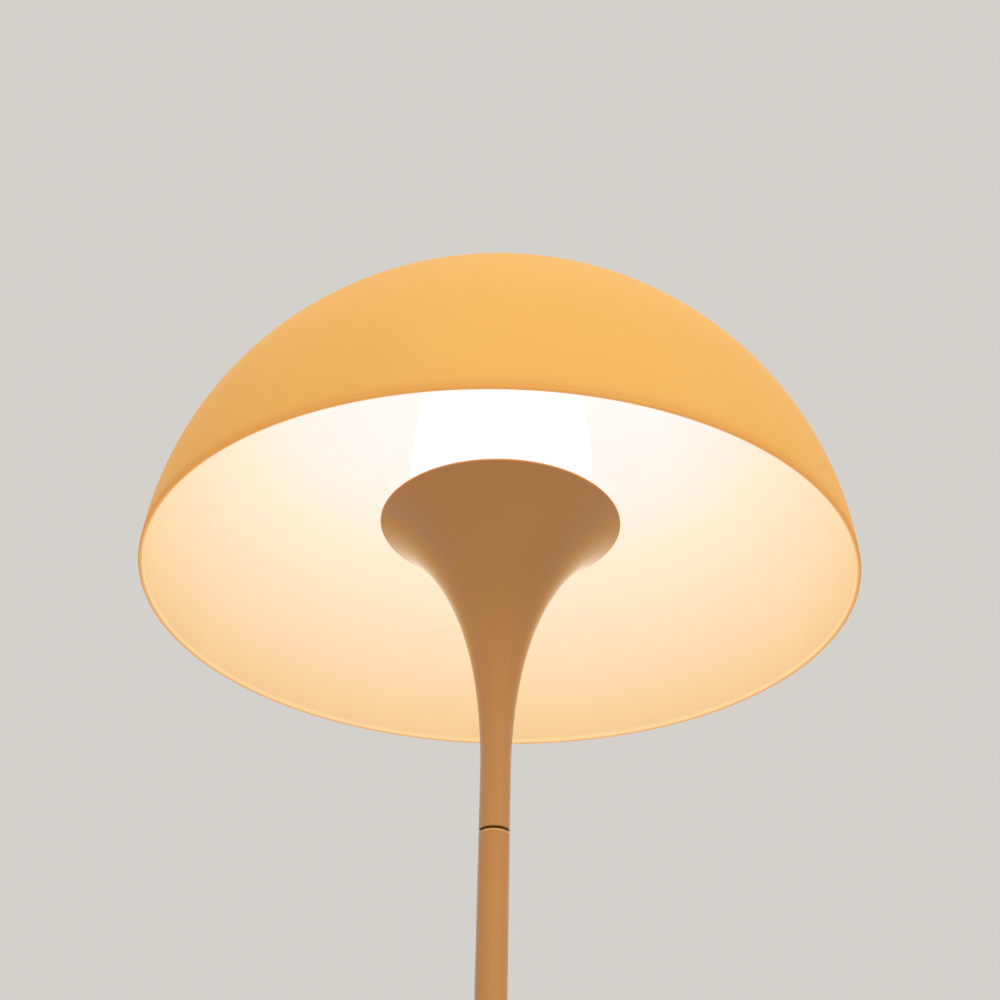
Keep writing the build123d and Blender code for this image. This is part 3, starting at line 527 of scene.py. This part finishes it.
def bezier(controls, steps):
    """Points on a cubic curve."""
    a, b, c, d = (np.array(p) for p in controls)
    return [
        tuple((1 - t) ** 3 * a + 3 * (1 - t) ** 2 * t * b + 3 * (1 - t) * t * t * c + t ** 3 * d)
        for t in np.linspace(0, 1, steps + 1)
    ]


def inset(controls, distance):
    """The same flare moved square to itself, to the left of its direction."""
    points = [np.array(p, float) for p in controls]
    legs = [(b - a) / np.linalg.norm(b - a) for a, b in zip(points, points[1:])]
    normals = [np.array((-leg[1], leg[0])) for leg in legs]
    moves = [normals[0]]
    for first, second in zip(normals, normals[1:]):
        moves.append((first + second) / (1 + first @ second))
    moves.append(normals[-1])
    return [tuple(point + move * distance) for point, move in zip(points, moves)]


CORNER_STEPS = 4
NEARLY_STRAIGHT = math.radians(88)
SIDE_SHARE = 0.49


def rounded(corners, closed=True):
    """A polyline with rounded corners, as far as their sides allow. A corner's third value is its radius."""
    result = []
    count = len(corners)
    for i, corner in enumerate(corners):
        here = np.array(corner[:2], float)
        wanted = corner[2] if len(corner) > 2 else 0
        if not closed and i in (0, count - 1) or wanted <= 0:
            result.append(tuple(here))
            continue
        before = np.array(corners[i - 1][:2], float) - here
        after = np.array(corners[(i + 1) % count][:2], float) - here
        reach_before, reach_after = np.linalg.norm(before), np.linalg.norm(after)
        before, after = before / reach_before, after / reach_after
        half = math.acos(max(-1.0, min(1.0, float(before @ after)))) / 2
        if half > NEARLY_STRAIGHT:
            result.append(tuple(here))
            continue
        reach = min(wanted / math.tan(half), SIDE_SHARE * reach_before, SIDE_SHARE * reach_after)
        start, end = here + before * reach, here + after * reach
        for k in range(CORNER_STEPS + 1):
            t = k / CORNER_STEPS
            result.append(tuple((1 - t) ** 2 * start + 2 * t * (1 - t) * here + t * t * end))
    return result


def even(mesh):
    """Turns every face of a closed mesh outwards."""
    maker = bmesh.new()
    maker.from_mesh(mesh)
    bmesh.ops.recalc_face_normals(maker, faces=maker.faces)
    maker.to_mesh(mesh)
    maker.free()
    return mesh


def finish_mesh(name, mesh, surface, body, replaced, sharp=math.radians(40)):
    """Makes an object of a mesh, shades it, rides it on a body and hides the CAD part it replaces."""
    even(mesh)
    mesh.polygons.foreach_set("use_smooth", [True] * len(mesh.polygons))
    mesh.set_sharp_from_angle(angle=sharp)
    mesh.materials.clear()
    mesh.materials.append(surface.material)
    piece = bpy.data.objects.new(name, mesh)
    bpy.context.scene.collection.objects.link(piece)
    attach(piece, body)
    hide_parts(replaced)
    return piece


ON_AXIS = 1e-7


def lathe_mesh(name, profile, closed=True, around=192, form=None, place=None):
    """A mesh turned about the Z axis.

    form gives the radii round a point of the profile, from the point's number, its radius, its height and the
    angles. place moves the finished mesh.
    """
    angles = np.arange(around) * 2 * math.pi / around
    vertices, rings = [], []
    for i, (radius, height) in enumerate(profile):
        if radius < ON_AXIS:
            rings.append([len(vertices)])
            vertices.append((0.0, 0.0, height))
            continue
        radii = form(i, radius, height, angles) if form else np.full(around, radius)
        rings.append(list(range(len(vertices), len(vertices) + around)))
        vertices += [(r * math.cos(a), r * math.sin(a), height) for r, a in zip(radii, angles)]
    faces = []
    spans = list(zip(rings, rings[1:])) + ([(rings[-1], rings[0])] if closed else [])
    for low, high in spans:
        for i in range(around):
            j = (i + 1) % around
            if len(low) == 1:
                faces.append((low[0], high[i], high[j]))
            elif len(high) == 1:
                faces.append((low[i], high[0], low[j]))
            else:
                faces.append((low[i], high[i], high[j], low[j]))
    mesh = bpy.data.meshes.new(name)
    mesh.from_pydata(vertices, [], faces)
    if place is not None:
        mesh.transform(place)
    return even(mesh)


def turn(name, profile, surface, body, replaced, **options):
    return finish_mesh(name, lathe_mesh(name, profile, **options), surface, body, replaced)


def grip(count, depths):
    """The form of a piece with upright grooves, as deep as depths says at each point."""
    return lambda i, radius, height, angles: radius - depths[i] * (0.5 - 0.5 * np.cos(count * angles)) ** 2


def screwed(rises, pitch):
    """The form of a piece with a right-hand thread, as high as rises says at each point."""
    return lambda i, radius, height, angles: radius + rises[i] * np.cos(2 * math.pi * height / pitch - angles)


def six_sided(flats):
    """The form of a nut whose profile runs past its corners."""
    return lambda i, radius, height, angles: np.minimum(
        radius, 0.5 * flats / np.cos(angles % (math.pi / 3) - math.pi / 6))


def carved(mesh, cutter):
    """The mesh with the cutter's shape taken out of it."""
    piece, tool = (bpy.data.objects.new(part.name, part) for part in (mesh, cutter))
    for made in (piece, tool):
        bpy.context.scene.collection.objects.link(made)
    cut = piece.modifiers.new("cut", "BOOLEAN")
    cut.operation = "DIFFERENCE"
    cut.object = tool
    cut.use_self = True
    bpy.context.view_layer.update()
    result = bpy.data.meshes.new_from_object(piece.evaluated_get(bpy.context.evaluated_depsgraph_get()))
    for made in (piece, tool):
        bpy.data.objects.remove(made)
    return result


# ---------------------------------------------------------------------------
# Shade and diffuser
# ---------------------------------------------------------------------------

inner_radius = SHADE_RADIUS - SHADE_WALL
round_up = RIM_ABOVE_CENTRE + RIM_ROUND
outer_reach, inner_reach = SHADE_RADIUS - RIM_ROUND, inner_radius + RIM_ROUND
outer_turn, inner_turn = math.asin(round_up / outer_reach), math.asin(round_up / inner_reach)
locator_turns = [math.acos(r / inner_radius) for r in (LOCATOR_RADIUS, LOCATOR_BORE)]
dome_centre = (0.0, SHADE_CENTRE)
outer_round = (outer_reach * math.cos(outer_turn), SHADE_CENTRE + round_up)
inner_round = (inner_reach * math.cos(inner_turn), SHADE_CENTRE + round_up)
DOME_STEPS, RIM_STEPS, LINING_STEPS, CROWN_STEPS, DOME_AROUND = 120, 8, 100, 14, 288
shade_profile = (
    [(0.0, SHADE_TOP)]
    + arc(dome_centre, SHADE_RADIUS, math.pi / 2, outer_turn, DOME_STEPS)[1:]
    + arc(outer_round, RIM_ROUND, outer_turn, -math.pi / 2, RIM_STEPS)[1:]
    + arc(inner_round, RIM_ROUND, 1.5 * math.pi, math.pi + inner_turn, RIM_STEPS)
    + arc(dome_centre, inner_radius, inner_turn, locator_turns[0], LINING_STEPS)[1:]
    + [(LOCATOR_RADIUS, LOCATOR_LOW), (LOCATOR_BORE, LOCATOR_LOW)]
    + arc(dome_centre, inner_radius, locator_turns[1], math.pi / 2, CROWN_STEPS)[:-1]
    + [(0.0, SHADE_CENTRE + inner_radius)]
)
turn("shade_dome", shade_profile, opal, "shade", "shade", closed=False, around=DOME_AROUND)


SIDE_STEPS = 28


def diffuser_side(depth):
    """Belly and crown of the diffuser, moved inwards by a depth."""
    bend = DIFFUSER_SHOULDER + DIFFUSER_STRAIGHT
    belly_centre = (DIFFUSER_RADIUS - BELLY_RADIUS, bend)
    crown_centre = (
        belly_centre[0] + (BELLY_RADIUS - CROWN_RADIUS) * math.cos(BELLY_TURN),
        bend + (BELLY_RADIUS - CROWN_RADIUS) * math.sin(BELLY_TURN),
    )
    return (
        arc(belly_centre, BELLY_RADIUS - depth, 0, BELLY_TURN, SIDE_STEPS)
        + arc(crown_centre, CROWN_RADIUS - depth, BELLY_TURN, math.pi / 2, SIDE_STEPS)[1:]
    )


outer_side = diffuser_side(0.0)
inner_side = diffuser_side(DIFFUSER_WALL)
spigot_bore = SPIGOT_RADIUS - DIFFUSER_WALL
spigot_low, spigot_high = DIFFUSER_SHOULDER - SPIGOT_DEPTH, DIFFUSER_SHOULDER + DIFFUSER_WALL
floor_corners = rounded([
    (*inner_side[0], 0.0),
    (inner_side[0][0], spigot_high, 0.0009),
    (spigot_bore, spigot_high, 0.0005),
    (spigot_bore, spigot_low, 0.0008),
    (SPIGOT_RADIUS, spigot_low, 0.0008),
    (SPIGOT_RADIUS, DIFFUSER_SHOULDER, 0.0004),
    (DIFFUSER_RADIUS, DIFFUSER_SHOULDER, 0.0006),
    (*outer_side[0], 0.0),
], closed=False)[1:-1]
diffuser_profile = (
    outer_side + [(CARRIER_HOLE, outer_side[-1][1]), (CARRIER_HOLE, inner_side[-1][1])]
    + inner_side[::-1] + floor_corners
)
turn("diffuser_cup", diffuser_profile, diffusing, "diffuser", "diffuser")

# ---------------------------------------------------------------------------
# Trumpet and pole
# ---------------------------------------------------------------------------

FLARE_STEPS, TRUMPET_AROUND, POLE_AROUND = 110, 240, 96
trumpet_flare = [
    (POLE_RADIUS, TRUMPET_LOW + TRUMPET_NECK),
    (POLE_RADIUS, TRUMPET_LOW + TRUMPET_NECK + NECK_PULL),
    (MOUTH_RADIUS - MOUTH_PULL * math.cos(MOUTH_SLOPE), LIP_HEIGHT - MOUTH_PULL * math.sin(MOUTH_SLOPE)),
    (MOUTH_RADIUS, LIP_HEIGHT),
]
flare = bezier(trumpet_flare, FLARE_STEPS)
lining = bezier(inset(trumpet_flare, POLE_WALL), FLARE_STEPS)
lip_corners = [flare[-2], (*flare[-1], LIP_ROUND), (*lining[-1], LIP_ROUND), lining[-2]]
trumpet_profile = (
    [(POLE_RADIUS, TRUMPET_LOW + EDGE_BREAK)] + flare[:-1]
    + rounded(lip_corners, closed=False)[1:-1] + lining[-2::-1]
    + [(POLE_RADIUS - POLE_WALL, TRUMPET_LOW), (POLE_RADIUS - EDGE_BREAK, TRUMPET_LOW)]
)
turn("trumpet_flare", trumpet_profile, lacquer, "root", "trumpet", around=TRUMPET_AROUND)

pole_profile = [
    (POLE_RADIUS, POLE_LOW + EDGE_BREAK), (POLE_RADIUS, POLE_HIGH - EDGE_BREAK),
    (POLE_RADIUS - EDGE_BREAK, POLE_HIGH), (POLE_RADIUS - POLE_WALL, POLE_HIGH),
    (POLE_RADIUS - POLE_WALL, POLE_LOW), (POLE_RADIUS - EDGE_BREAK, POLE_LOW),
]
turn("pole", pole_profile, lacquer, "root", "pole_tube", around=POLE_AROUND)

# ---------------------------------------------------------------------------
# Lampholder and bulb, with their screw thread
# ---------------------------------------------------------------------------

def threaded_wall(radius, low, high, fade, steps, swell=0.0):
    """Points up a threaded wall, and the thread's height at each.

    The thread fades out at the ends, where the wall swells.
    """
    heights = [float(z) for z in np.linspace(low, high, steps)]
    shares = [min(1.0, (z - low) / fade, (high - z) / fade) for z in heights]
    points = [(radius + swell * (1 - share), z) for share, z in zip(shares, heights)]
    return points, [THREAD_DEPTH * share for share in shares]


GRIP_DEPTH, GRIP_COUNT, GRIP_AROUND = 0.0007, 36, 288
GRIP_END, ON_SIDE = 0.0006, 1e-6


def turn_gripped(name, corners, low, high, replaced):
    """A ring of the lampholder, with grip grooves on its side from low to high."""
    points = rounded(corners)
    side = max(r for r, _ in points)
    depths = [GRIP_DEPTH if abs(r - side) < ON_SIDE and low <= z <= high else 0.0 for r, z in points]
    turn(name, points, holder_plastic, "root", replaced, around=GRIP_AROUND, form=grip(GRIP_COUNT, depths))


holder_low, holder_cap_high = (corner.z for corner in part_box("holder_cap"))
holder_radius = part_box("holder_cap")[1].x
holder_shoulder = 0.5 * (holder_low + holder_cap_high)
NIPPLE_RADIUS = 0.00505
HOLDER_NECK, HOLDER_HOLLOW, HOLDER_FLOOR, HOLDER_BASE = 0.0125, 0.0173, 0.0103, 0.004
CAP_GRIP_MARGIN = 0.0016
cap_grip_low, cap_grip_high = holder_shoulder + CAP_GRIP_MARGIN, holder_cap_high - CAP_GRIP_MARGIN
turn_gripped("holder_grip", [
    (NIPPLE_RADIUS, holder_low, 0), (HOLDER_NECK, holder_low, 0.0012),
    (holder_radius, holder_shoulder, 0.003), (holder_radius, cap_grip_low - GRIP_END, 0),
    (holder_radius, cap_grip_low, 0), (holder_radius, cap_grip_high, 0),
    (holder_radius, cap_grip_high + GRIP_END, 0), (holder_radius, holder_cap_high, 0.0004),
    (HOLDER_HOLLOW, holder_cap_high, 0), (HOLDER_HOLLOW, holder_shoulder, 0),
    (HOLDER_FLOOR, holder_low + HOLDER_BASE, 0), (NIPPLE_RADIUS, holder_low + HOLDER_BASE, 0),
], cap_grip_low, cap_grip_high, "holder_cap")

SLEEVE_BORE, SLEEVE_GRIP_LOW, SLEEVE_GRIP_HIGH = 0.0145, 0.0026, 0.0156
body_low, body_high = (corner.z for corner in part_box("holder_body"))
body_grip_low, body_grip_high = body_low + SLEEVE_GRIP_LOW, body_low + SLEEVE_GRIP_HIGH
turn_gripped("holder_sleeve", [
    (holder_radius, body_low, 0.0004), (holder_radius, body_grip_low - GRIP_END, 0),
    (holder_radius, body_grip_low, 0), (holder_radius, body_grip_high, 0),
    (holder_radius, body_grip_high + GRIP_END, 0), (holder_radius, body_high, 0.0010),
    (SLEEVE_BORE, body_high, 0.0008), (SLEEVE_BORE, body_low, 0),
], body_grip_low, body_grip_high, "holder_body")

THREAD_AROUND = 96
SHELL_MIDDLE, SHELL_WALL, SHELL_SWELL = 0.0129, 0.0005, 0.00028
SHELL_FADE, SHELL_STEPS = 0.0026, 110
SHELL_LIP, SHELL_MOUTH, SHELL_RADIUS = 0.01405, 0.0135, 0.0135
SHELL_HOLE, SHELL_SHEET = 0.0070, 0.0006
shell_low, shell_high = (corner.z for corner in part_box("holder_shell"))
shell_thread = (shell_low + 0.0022, shell_high - 0.0014, SHELL_FADE, SHELL_STEPS, SHELL_SWELL)
outer, outer_rises = threaded_wall(SHELL_MIDDLE + SHELL_WALL, *shell_thread)
inner, inner_rises = threaded_wall(SHELL_MIDDLE, *shell_thread)
shell_lip = [
    (SHELL_LIP, shell_high - 0.0007), (SHELL_LIP, shell_high),
    (SHELL_MOUTH, shell_high), (SHELL_MOUTH, shell_high - 0.0006),
]
shell_floor = [
    (0.0128, shell_low + 0.0008), (0.0124, shell_low + SHELL_SHEET), (SHELL_HOLE, shell_low + SHELL_SHEET),
    (SHELL_HOLE, shell_low), (0.0130, shell_low), (SHELL_RADIUS, shell_low + 0.0005),
]
shell_rises = outer_rises + [0.0] * len(shell_lip) + inner_rises[::-1] + [0.0] * len(shell_floor)
turn("holder_screw_shell", outer + shell_lip + inner[::-1] + shell_floor, brass, "root", "holder_shell",
     around=THREAD_AROUND, form=screwed(shell_rises, THREAD_PITCH))

CAP_MIDDLE, CAP_RADIUS, CAP_BORE, CAP_HOLLOW = 0.01255, 0.0131, 0.0127, 0.0116
CAP_COLLAR, CAP_FLOOR, CAP_FADE, CAP_STEPS = 0.0047, 0.004, 0.0020, 90
cap_low, cap_high = (corner.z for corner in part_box("bulb_cap"))
collar = cap_high - CAP_COLLAR
cap_side, cap_side_rises = threaded_wall(CAP_MIDDLE, cap_low + 0.0030, collar - 0.0005, CAP_FADE, CAP_STEPS)
cap_foot = [(0.0, cap_low), (0.0090, cap_low), (0.0094, cap_low + 0.0002), (0.0122, cap_low + 0.0026)]
cap_head = [
    (0.0130, collar), (CAP_RADIUS, collar + 0.0002), (CAP_RADIUS, cap_high), (CAP_BORE, cap_high),
    (CAP_BORE, collar + 0.0003), (CAP_HOLLOW, collar), (CAP_HOLLOW, cap_low + CAP_FLOOR),
    (0.0, cap_low + CAP_FLOOR),
]
cap_rises = [0.0] * len(cap_foot) + cap_side_rises + [0.0] * len(cap_head)
turn("bulb_screw_cap", cap_foot + cap_side + cap_head, cap_metal, "bulb", "bulb_cap", closed=False,
     around=THREAD_AROUND, form=screwed(cap_rises, THREAD_PITCH))

HOUSING_WALL, HOUSING_RADIUS = 0.002, 0.0134
HOUSING_STEPS, HOUSING_LINING_STEPS = 48, 24
TENON_BORE, TENON_RADIUS, TENON_LENGTH = 0.0106, 0.01262, 0.0042
PARTING_LOW, LINING_GAP = 0.0009, 0.0002
globe_foot_radius = math.sqrt(BULB_RADIUS ** 2 - (GLOBE_CENTRE - GLOBE_FOOT) ** 2)
flare_turn = math.asin((GLOBE_CENTRE - GLOBE_FOOT) / BULB_RADIUS)
housing_flare = [
    (HOUSING_RADIUS, cap_high), (HOUSING_RADIUS, cap_high + BULB_PULL),
    (globe_foot_radius - BULB_PULL * math.sin(flare_turn), GLOBE_FOOT - BULB_PULL * math.cos(flare_turn)),
    (globe_foot_radius, GLOBE_FOOT),
]
housing_side = [(r, z) for r, z in bezier(housing_flare, HOUSING_STEPS) if z < GLOBE_FOOT - PARTING_LOW]
housing_side[0] = (HOUSING_RADIUS, cap_high + 0.0003)
whole_lining = bezier(inset(housing_flare, HOUSING_WALL), HOUSING_LINING_STEPS)
housing_lining = [(r, z) for r, z in whole_lining if z < GLOBE_FOOT - LINING_GAP]
parting = [
    (globe_foot_radius - inwards, GLOBE_FOOT - down)
    for inwards, down in (
        (0.0005, 0.0008), (0.0009, 0.0007), (0.0009, 0.0003), (0.0004, 0.0002), (0.0002, 0.0), (0.0018, 0.0))
]
housing_foot = [
    (TENON_BORE, cap_high - TENON_LENGTH), (TENON_RADIUS, cap_high - TENON_LENGTH),
    (TENON_RADIUS, cap_high), (HOUSING_RADIUS - 0.0002, cap_high),
]
housing_profile = housing_foot + housing_side + parting + housing_lining[::-1]
turn("bulb_driver_housing", housing_profile, bulb_plastic, "bulb", "bulb_housing")

# ---------------------------------------------------------------------------
# Screws and nuts
# ---------------------------------------------------------------------------

RECESS_TAPER, RECESS_OVERSHOOT = 0.45, 0.2


def cross_cutter(reach, width, depth):
    """The shape of a cross recess that goes down from z = 0, narrowing with depth."""
    maker = bmesh.new()
    for along, across in ((reach, width), (width, reach)):
        made = bmesh.ops.create_cube(maker, size=1.0)["verts"]
        for vertex in made:
            taper = 1.0 if vertex.co.z < 0 else RECESS_TAPER
            vertex.co = Vector((
                2 * along * taper * vertex.co.x,
                2 * across * taper * vertex.co.y,
                depth * (vertex.co.z + 0.5) * (1 + RECESS_OVERSHOOT) - RECESS_OVERSHOOT * depth,
            ))
    mesh = bpy.data.meshes.new("cutter")
    maker.to_mesh(mesh)
    maker.free()
    return mesh


HEAD_BREAK = 0.00012
STEPS_PER_TURN = 8
SCREW_SHARP = math.radians(30)


def sunk_screw(name, radius, head, sink, length, pitch):
    """A countersunk screw with a cross recess. Its face is at z = 0 and its shank runs along +Z."""
    steps = int(STEPS_PER_TURN * (length - sink) / pitch)
    depth = 0.22 * pitch
    heights = [float(z) for z in np.linspace(sink + 0.4 * pitch, length - 0.6 * pitch, steps)]
    shank = [(radius - depth, z) for z in heights]
    profile = (
        [(0.0, 0.0), (head - HEAD_BREAK, 0.0), (head, HEAD_BREAK), (radius - depth, sink)] + shank
        + [(radius - 2 * depth, length), (0.0, length)]
    )
    rises = [0.0] * 4 + [depth * min(1.0, (length - z) / (2 * pitch)) for z in heights] + [0.0, 0.0]
    blank = lathe_mesh(name, profile, closed=False, around=48, form=screwed(rises, pitch))
    return carved(blank, cross_cutter(0.62 * head, 0.16 * head, 0.9 * sink))


plate_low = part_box("base_plate")[0].z
PLATE_SCREW_CIRCLE, PLATE_SCREWS = 0.080, 4
RECESS_TURN = 0.7  # by which each screw's recess is turned on from the last one's
plate_screw = sunk_screw("plate_screw", radius=0.002, head=0.004, sink=0.0018, length=0.010, pitch=0.0007)
for number in range(PLATE_SCREWS):
    screw_place = (
        Matrix.Rotation((number + 0.5) * 2 * math.pi / PLATE_SCREWS, 4, "Z")
        @ Matrix.Translation((PLATE_SCREW_CIRCLE, 0, plate_low))
        @ Matrix.Rotation(RECESS_TURN * number, 4, "Z")
    )
    screw_mesh = plate_screw.copy()
    screw_mesh.transform(screw_place)
    finish_mesh(f"plate_screw_{number + 1}", screw_mesh, zinc, "root", "plate_screws", sharp=SCREW_SHARP)

screw_low, screw_high = (corner.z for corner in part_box("carrier_screw"))
carrier_screw = sunk_screw("carrier_fixing", radius=0.0015, head=0.003, sink=0.0016,
                           length=screw_high - screw_low, pitch=0.0005)
carrier_screw.transform(Matrix.Translation((0, 0, screw_high)) @ Matrix.Rotation(math.pi, 4, "X"))
finish_mesh("carrier_fixing", carrier_screw, zinc, "diffuser", "carrier_screw", sharp=SCREW_SHARP)


NUT_CHAMFER, NUT_FACE, BORE_BREAK, NUT_AROUND = math.radians(30), 0.49, 0.0003, 96


def hex_nut(name, node_name, body, flats, bore):
    """A hexagon nut, chamfered at both ends, in the place of a CAD nut."""
    low, high = (corner.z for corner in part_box(node_name))
    face, corner = NUT_FACE * flats, 0.5 * flats / math.cos(math.pi / 6)
    chamfer = (corner - face) * math.tan(NUT_CHAMFER)
    between = 0.5 * (face + corner)
    profile = [
        (bore + BORE_BREAK, low), (face, low), (between, low + 0.5 * chamfer), (corner, low + chamfer),
        (corner, high - chamfer), (between, high - 0.5 * chamfer), (face, high),
        (bore + BORE_BREAK, high), (bore, high - BORE_BREAK), (bore, low + BORE_BREAK),
    ]
    turn(name, profile, zinc, body, node_name, around=NUT_AROUND, form=six_sided(flats))


hex_nut("carrier_hex", "carrier_nut", "diffuser", flats=0.0055, bore=0.00155)
hex_nut("upper_hex", "upper_nut", "root", flats=0.017, bore=NIPPLE_RADIUS)
hex_nut("lower_hex", "lower_nut", "root", flats=0.017, bore=NIPPLE_RADIUS)

# ---------------------------------------------------------------------------
# Foot: switch button and rubber ring
# ---------------------------------------------------------------------------

FOOT_NECK_TOP, FOOT_EDGE_TOP, FOOT_RADIUS = 0.215, 0.019, 0.150
FOOT_NECK_PULL, FOOT_MOUTH_PULL, FOOT_SLOPE = 0.100, 0.084, math.radians(7)
FOOT_SAMPLES = 2000
SWITCH_PLACE = 0.86
foot_pull = (FOOT_MOUTH_PULL * math.cos(FOOT_SLOPE), FOOT_MOUTH_PULL * math.sin(FOOT_SLOPE))
foot_flare = np.array(bezier((
    (POLE_RADIUS, FOOT_NECK_TOP), (POLE_RADIUS, FOOT_NECK_TOP - FOOT_NECK_PULL),
    (FOOT_RADIUS - foot_pull[0], FOOT_EDGE_TOP + foot_pull[1]), (FOOT_RADIUS, FOOT_EDGE_TOP),
), FOOT_SAMPLES))
lengths = np.concatenate(([0.0], np.cumsum(np.linalg.norm(np.diff(foot_flare, axis=0), axis=1))))
here = int(np.searchsorted(lengths, SWITCH_PLACE * lengths[-1]))
run = foot_flare[here + 1] - foot_flare[here - 1]
run /= np.linalg.norm(run)
switch_up = Vector((0, run[1], run[0]))
switch_side = Vector((1, 0, 0))
switch_frame = Matrix.Translation((0, -foot_flare[here][0], foot_flare[here][1])) @ Matrix(
    (switch_side, switch_up.cross(switch_side), switch_up)).transposed().to_4x4()

BUTTON_LOW, BUTTON_SHOULDER, BUTTON_HIGH = -0.0022, -0.0007, 0.0056
BUTTON_FLANGE, BUTTON_FLAT, BUTTON_ROUND, BUTTON_AROUND = 0.0102, 0.0075, 0.0015, 128
GROOVES = (0.0060, 0.0043, 0.0026)
# Each groove's half, from its middle to its edge, as a reach sideways and a depth
GROOVE_HALF = ((0.00020, 0.0004), (0.00035, 0.0001), (0.00045, 0.0))
button_profile = [
    (0.0, BUTTON_LOW), (BUTTON_FLANGE, BUTTON_LOW), (BUTTON_FLANGE, BUTTON_SHOULDER),
    (BUTTON_FLAT + BUTTON_ROUND, BUTTON_SHOULDER),
]
button_profile += arc((BUTTON_FLAT, BUTTON_HIGH - BUTTON_ROUND), BUTTON_ROUND, 0, math.pi / 2, 10)
for groove in GROOVES:
    button_profile += [(groove + reach, BUTTON_HIGH - depth) for reach, depth in reversed(GROOVE_HALF)]
    button_profile += [(groove - reach, BUTTON_HIGH - depth) for reach, depth in GROOVE_HALF]
button_profile.append((0.0, BUTTON_HIGH))
turn("switch_cap", button_profile, button_plastic, "switch_button", "switch_button", closed=False,
     around=BUTTON_AROUND, place=switch_frame)

COIL_STEPS, WIRE_SIDES, COIL_FLAT = 28, 14, 0.06


def coil_mesh(name, radius, wire, low, high, turns, place):
    """A coil of round wire whose ends lie flat."""
    steps = COIL_STEPS * turns
    angles = np.linspace(0, 2 * math.pi * turns, steps + 1)
    ease = np.clip(angles / angles[-1] * (1 + 2 * COIL_FLAT) - COIL_FLAT, 0.0, 1.0)
    line = np.stack((radius * np.cos(angles), radius * np.sin(angles), low + (high - low) * ease), axis=1)
    along = np.gradient(line, axis=0)
    along /= np.linalg.norm(along, axis=1)[:, None]
    outwards = line * (1, 1, 0) / radius
    upwards = np.cross(along, outwards)
    around = np.arange(WIRE_SIDES) * 2 * math.pi / WIRE_SIDES
    points = [
        tuple(line[i] + wire * (math.cos(a) * outwards[i] + math.sin(a) * upwards[i]))
        for i in range(steps + 1) for a in around
    ]
    rings = [list(range(i * WIRE_SIDES, (i + 1) * WIRE_SIDES)) for i in range(steps + 1)]
    faces = [
        (low_ring[k], low_ring[(k + 1) % WIRE_SIDES], high_ring[(k + 1) % WIRE_SIDES], high_ring[k])
        for low_ring, high_ring in zip(rings, rings[1:]) for k in range(WIRE_SIDES)
    ]
    faces += [tuple(rings[0]), tuple(rings[-1])]
    mesh = bpy.data.meshes.new(name)
    mesh.from_pydata(points, [], faces)
    mesh.transform(place)
    return mesh


SPRING_RADIUS, SPRING_WIRE, SPRING_TURNS = 0.005, 0.0005, 3
SPRING_LOW, SPRING_HIGH, SPRING_KEEP = -0.00885, -0.00235, 0.6
coil = coil_mesh("switch_coil", SPRING_RADIUS, SPRING_WIRE, SPRING_LOW + SPRING_WIRE,
                 SPRING_HIGH - SPRING_WIRE, SPRING_TURNS, switch_frame)
spring = finish_mesh("switch_coil", coil, spring_wire, "root", "switch_spring")
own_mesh(spring)

pad_low, pad_high = (corner.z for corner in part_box("base_pad"))
pad_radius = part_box("base_pad")[1].x
PAD_WIDTH, PAD_RIDGES, PAD_GAP, PAD_GROOVE, PAD_AROUND = 0.026, 6, 0.0012, 0.0009, 256
pad_corners = [(pad_radius, pad_high, 0.0002), (pad_radius - PAD_WIDTH, pad_high, 0.0002)]
for ridge in range(PAD_RIDGES):
    start = pad_radius - PAD_WIDTH + ridge * PAD_WIDTH / PAD_RIDGES
    end = start + PAD_WIDTH / PAD_RIDGES
    pad_corners += [(start, pad_low, 0.0006), (end - PAD_GAP, pad_low, 0.0004)]
    if ridge < PAD_RIDGES - 1:
        pad_corners += [(end - gap, pad_low + PAD_GROOVE, 0.0002) for gap in (PAD_GAP - 0.0002, 0.0002)]
    else:
        pad_corners += [(end, pad_low + 0.0010, 0.0006)]
turn("foot_pad", rounded(pad_corners), rubber, "root", "base_pad", around=PAD_AROUND)

# ---------------------------------------------------------------------------
# Floor, fading out into the backdrop
# ---------------------------------------------------------------------------

FLOOR_REACH, FLOOR_FADE, FLOOR_CLEAR, FLOOR_DROP = 2.4, 0.7, 0.95, 0.0001
FLOOR_PALE, FLOOR_SOFT = (0.79, 0.77, 0.735), (0.77, 0.75, 0.715)
floor_paint = Surface("floor_paint", FLOOR_PALE, 0.85, Specular_IOR_Level=0.1)
floor_paint.tint(3.0, FLOOR_PALE, FLOOR_SOFT)
floor_paint.bump(floor_paint.noise(90.0), 0.05, 0.001)
clear = floor_paint.new("ShaderNodeBsdfTransparent")
blend = floor_paint.new("ShaderNodeMixShader")
away = floor_paint.distance_to((0, 0, 0))
fade = floor_paint.spread(away, 0.0, 1.0, FLOOR_FADE, FLOOR_CLEAR * FLOOR_REACH, True)
floor_paint.link(fade, blend.inputs["Fac"])
floor_paint.link(floor_paint.shader.outputs[0], blend.inputs[1])
floor_paint.link(clear.outputs[0], blend.inputs[2])
floor_paint.link(blend.outputs[0], floor_paint.tree.nodes["Material Output"].inputs["Surface"])
floor_mesh = lathe_mesh("floor", [(0.0, -FLOOR_DROP), (FLOOR_REACH, -FLOOR_DROP)], closed=False, around=96)
floor_mesh.materials.append(floor_paint.material)
floor = bpy.data.objects.new("floor", floor_mesh)
bpy.context.scene.collection.objects.link(floor)
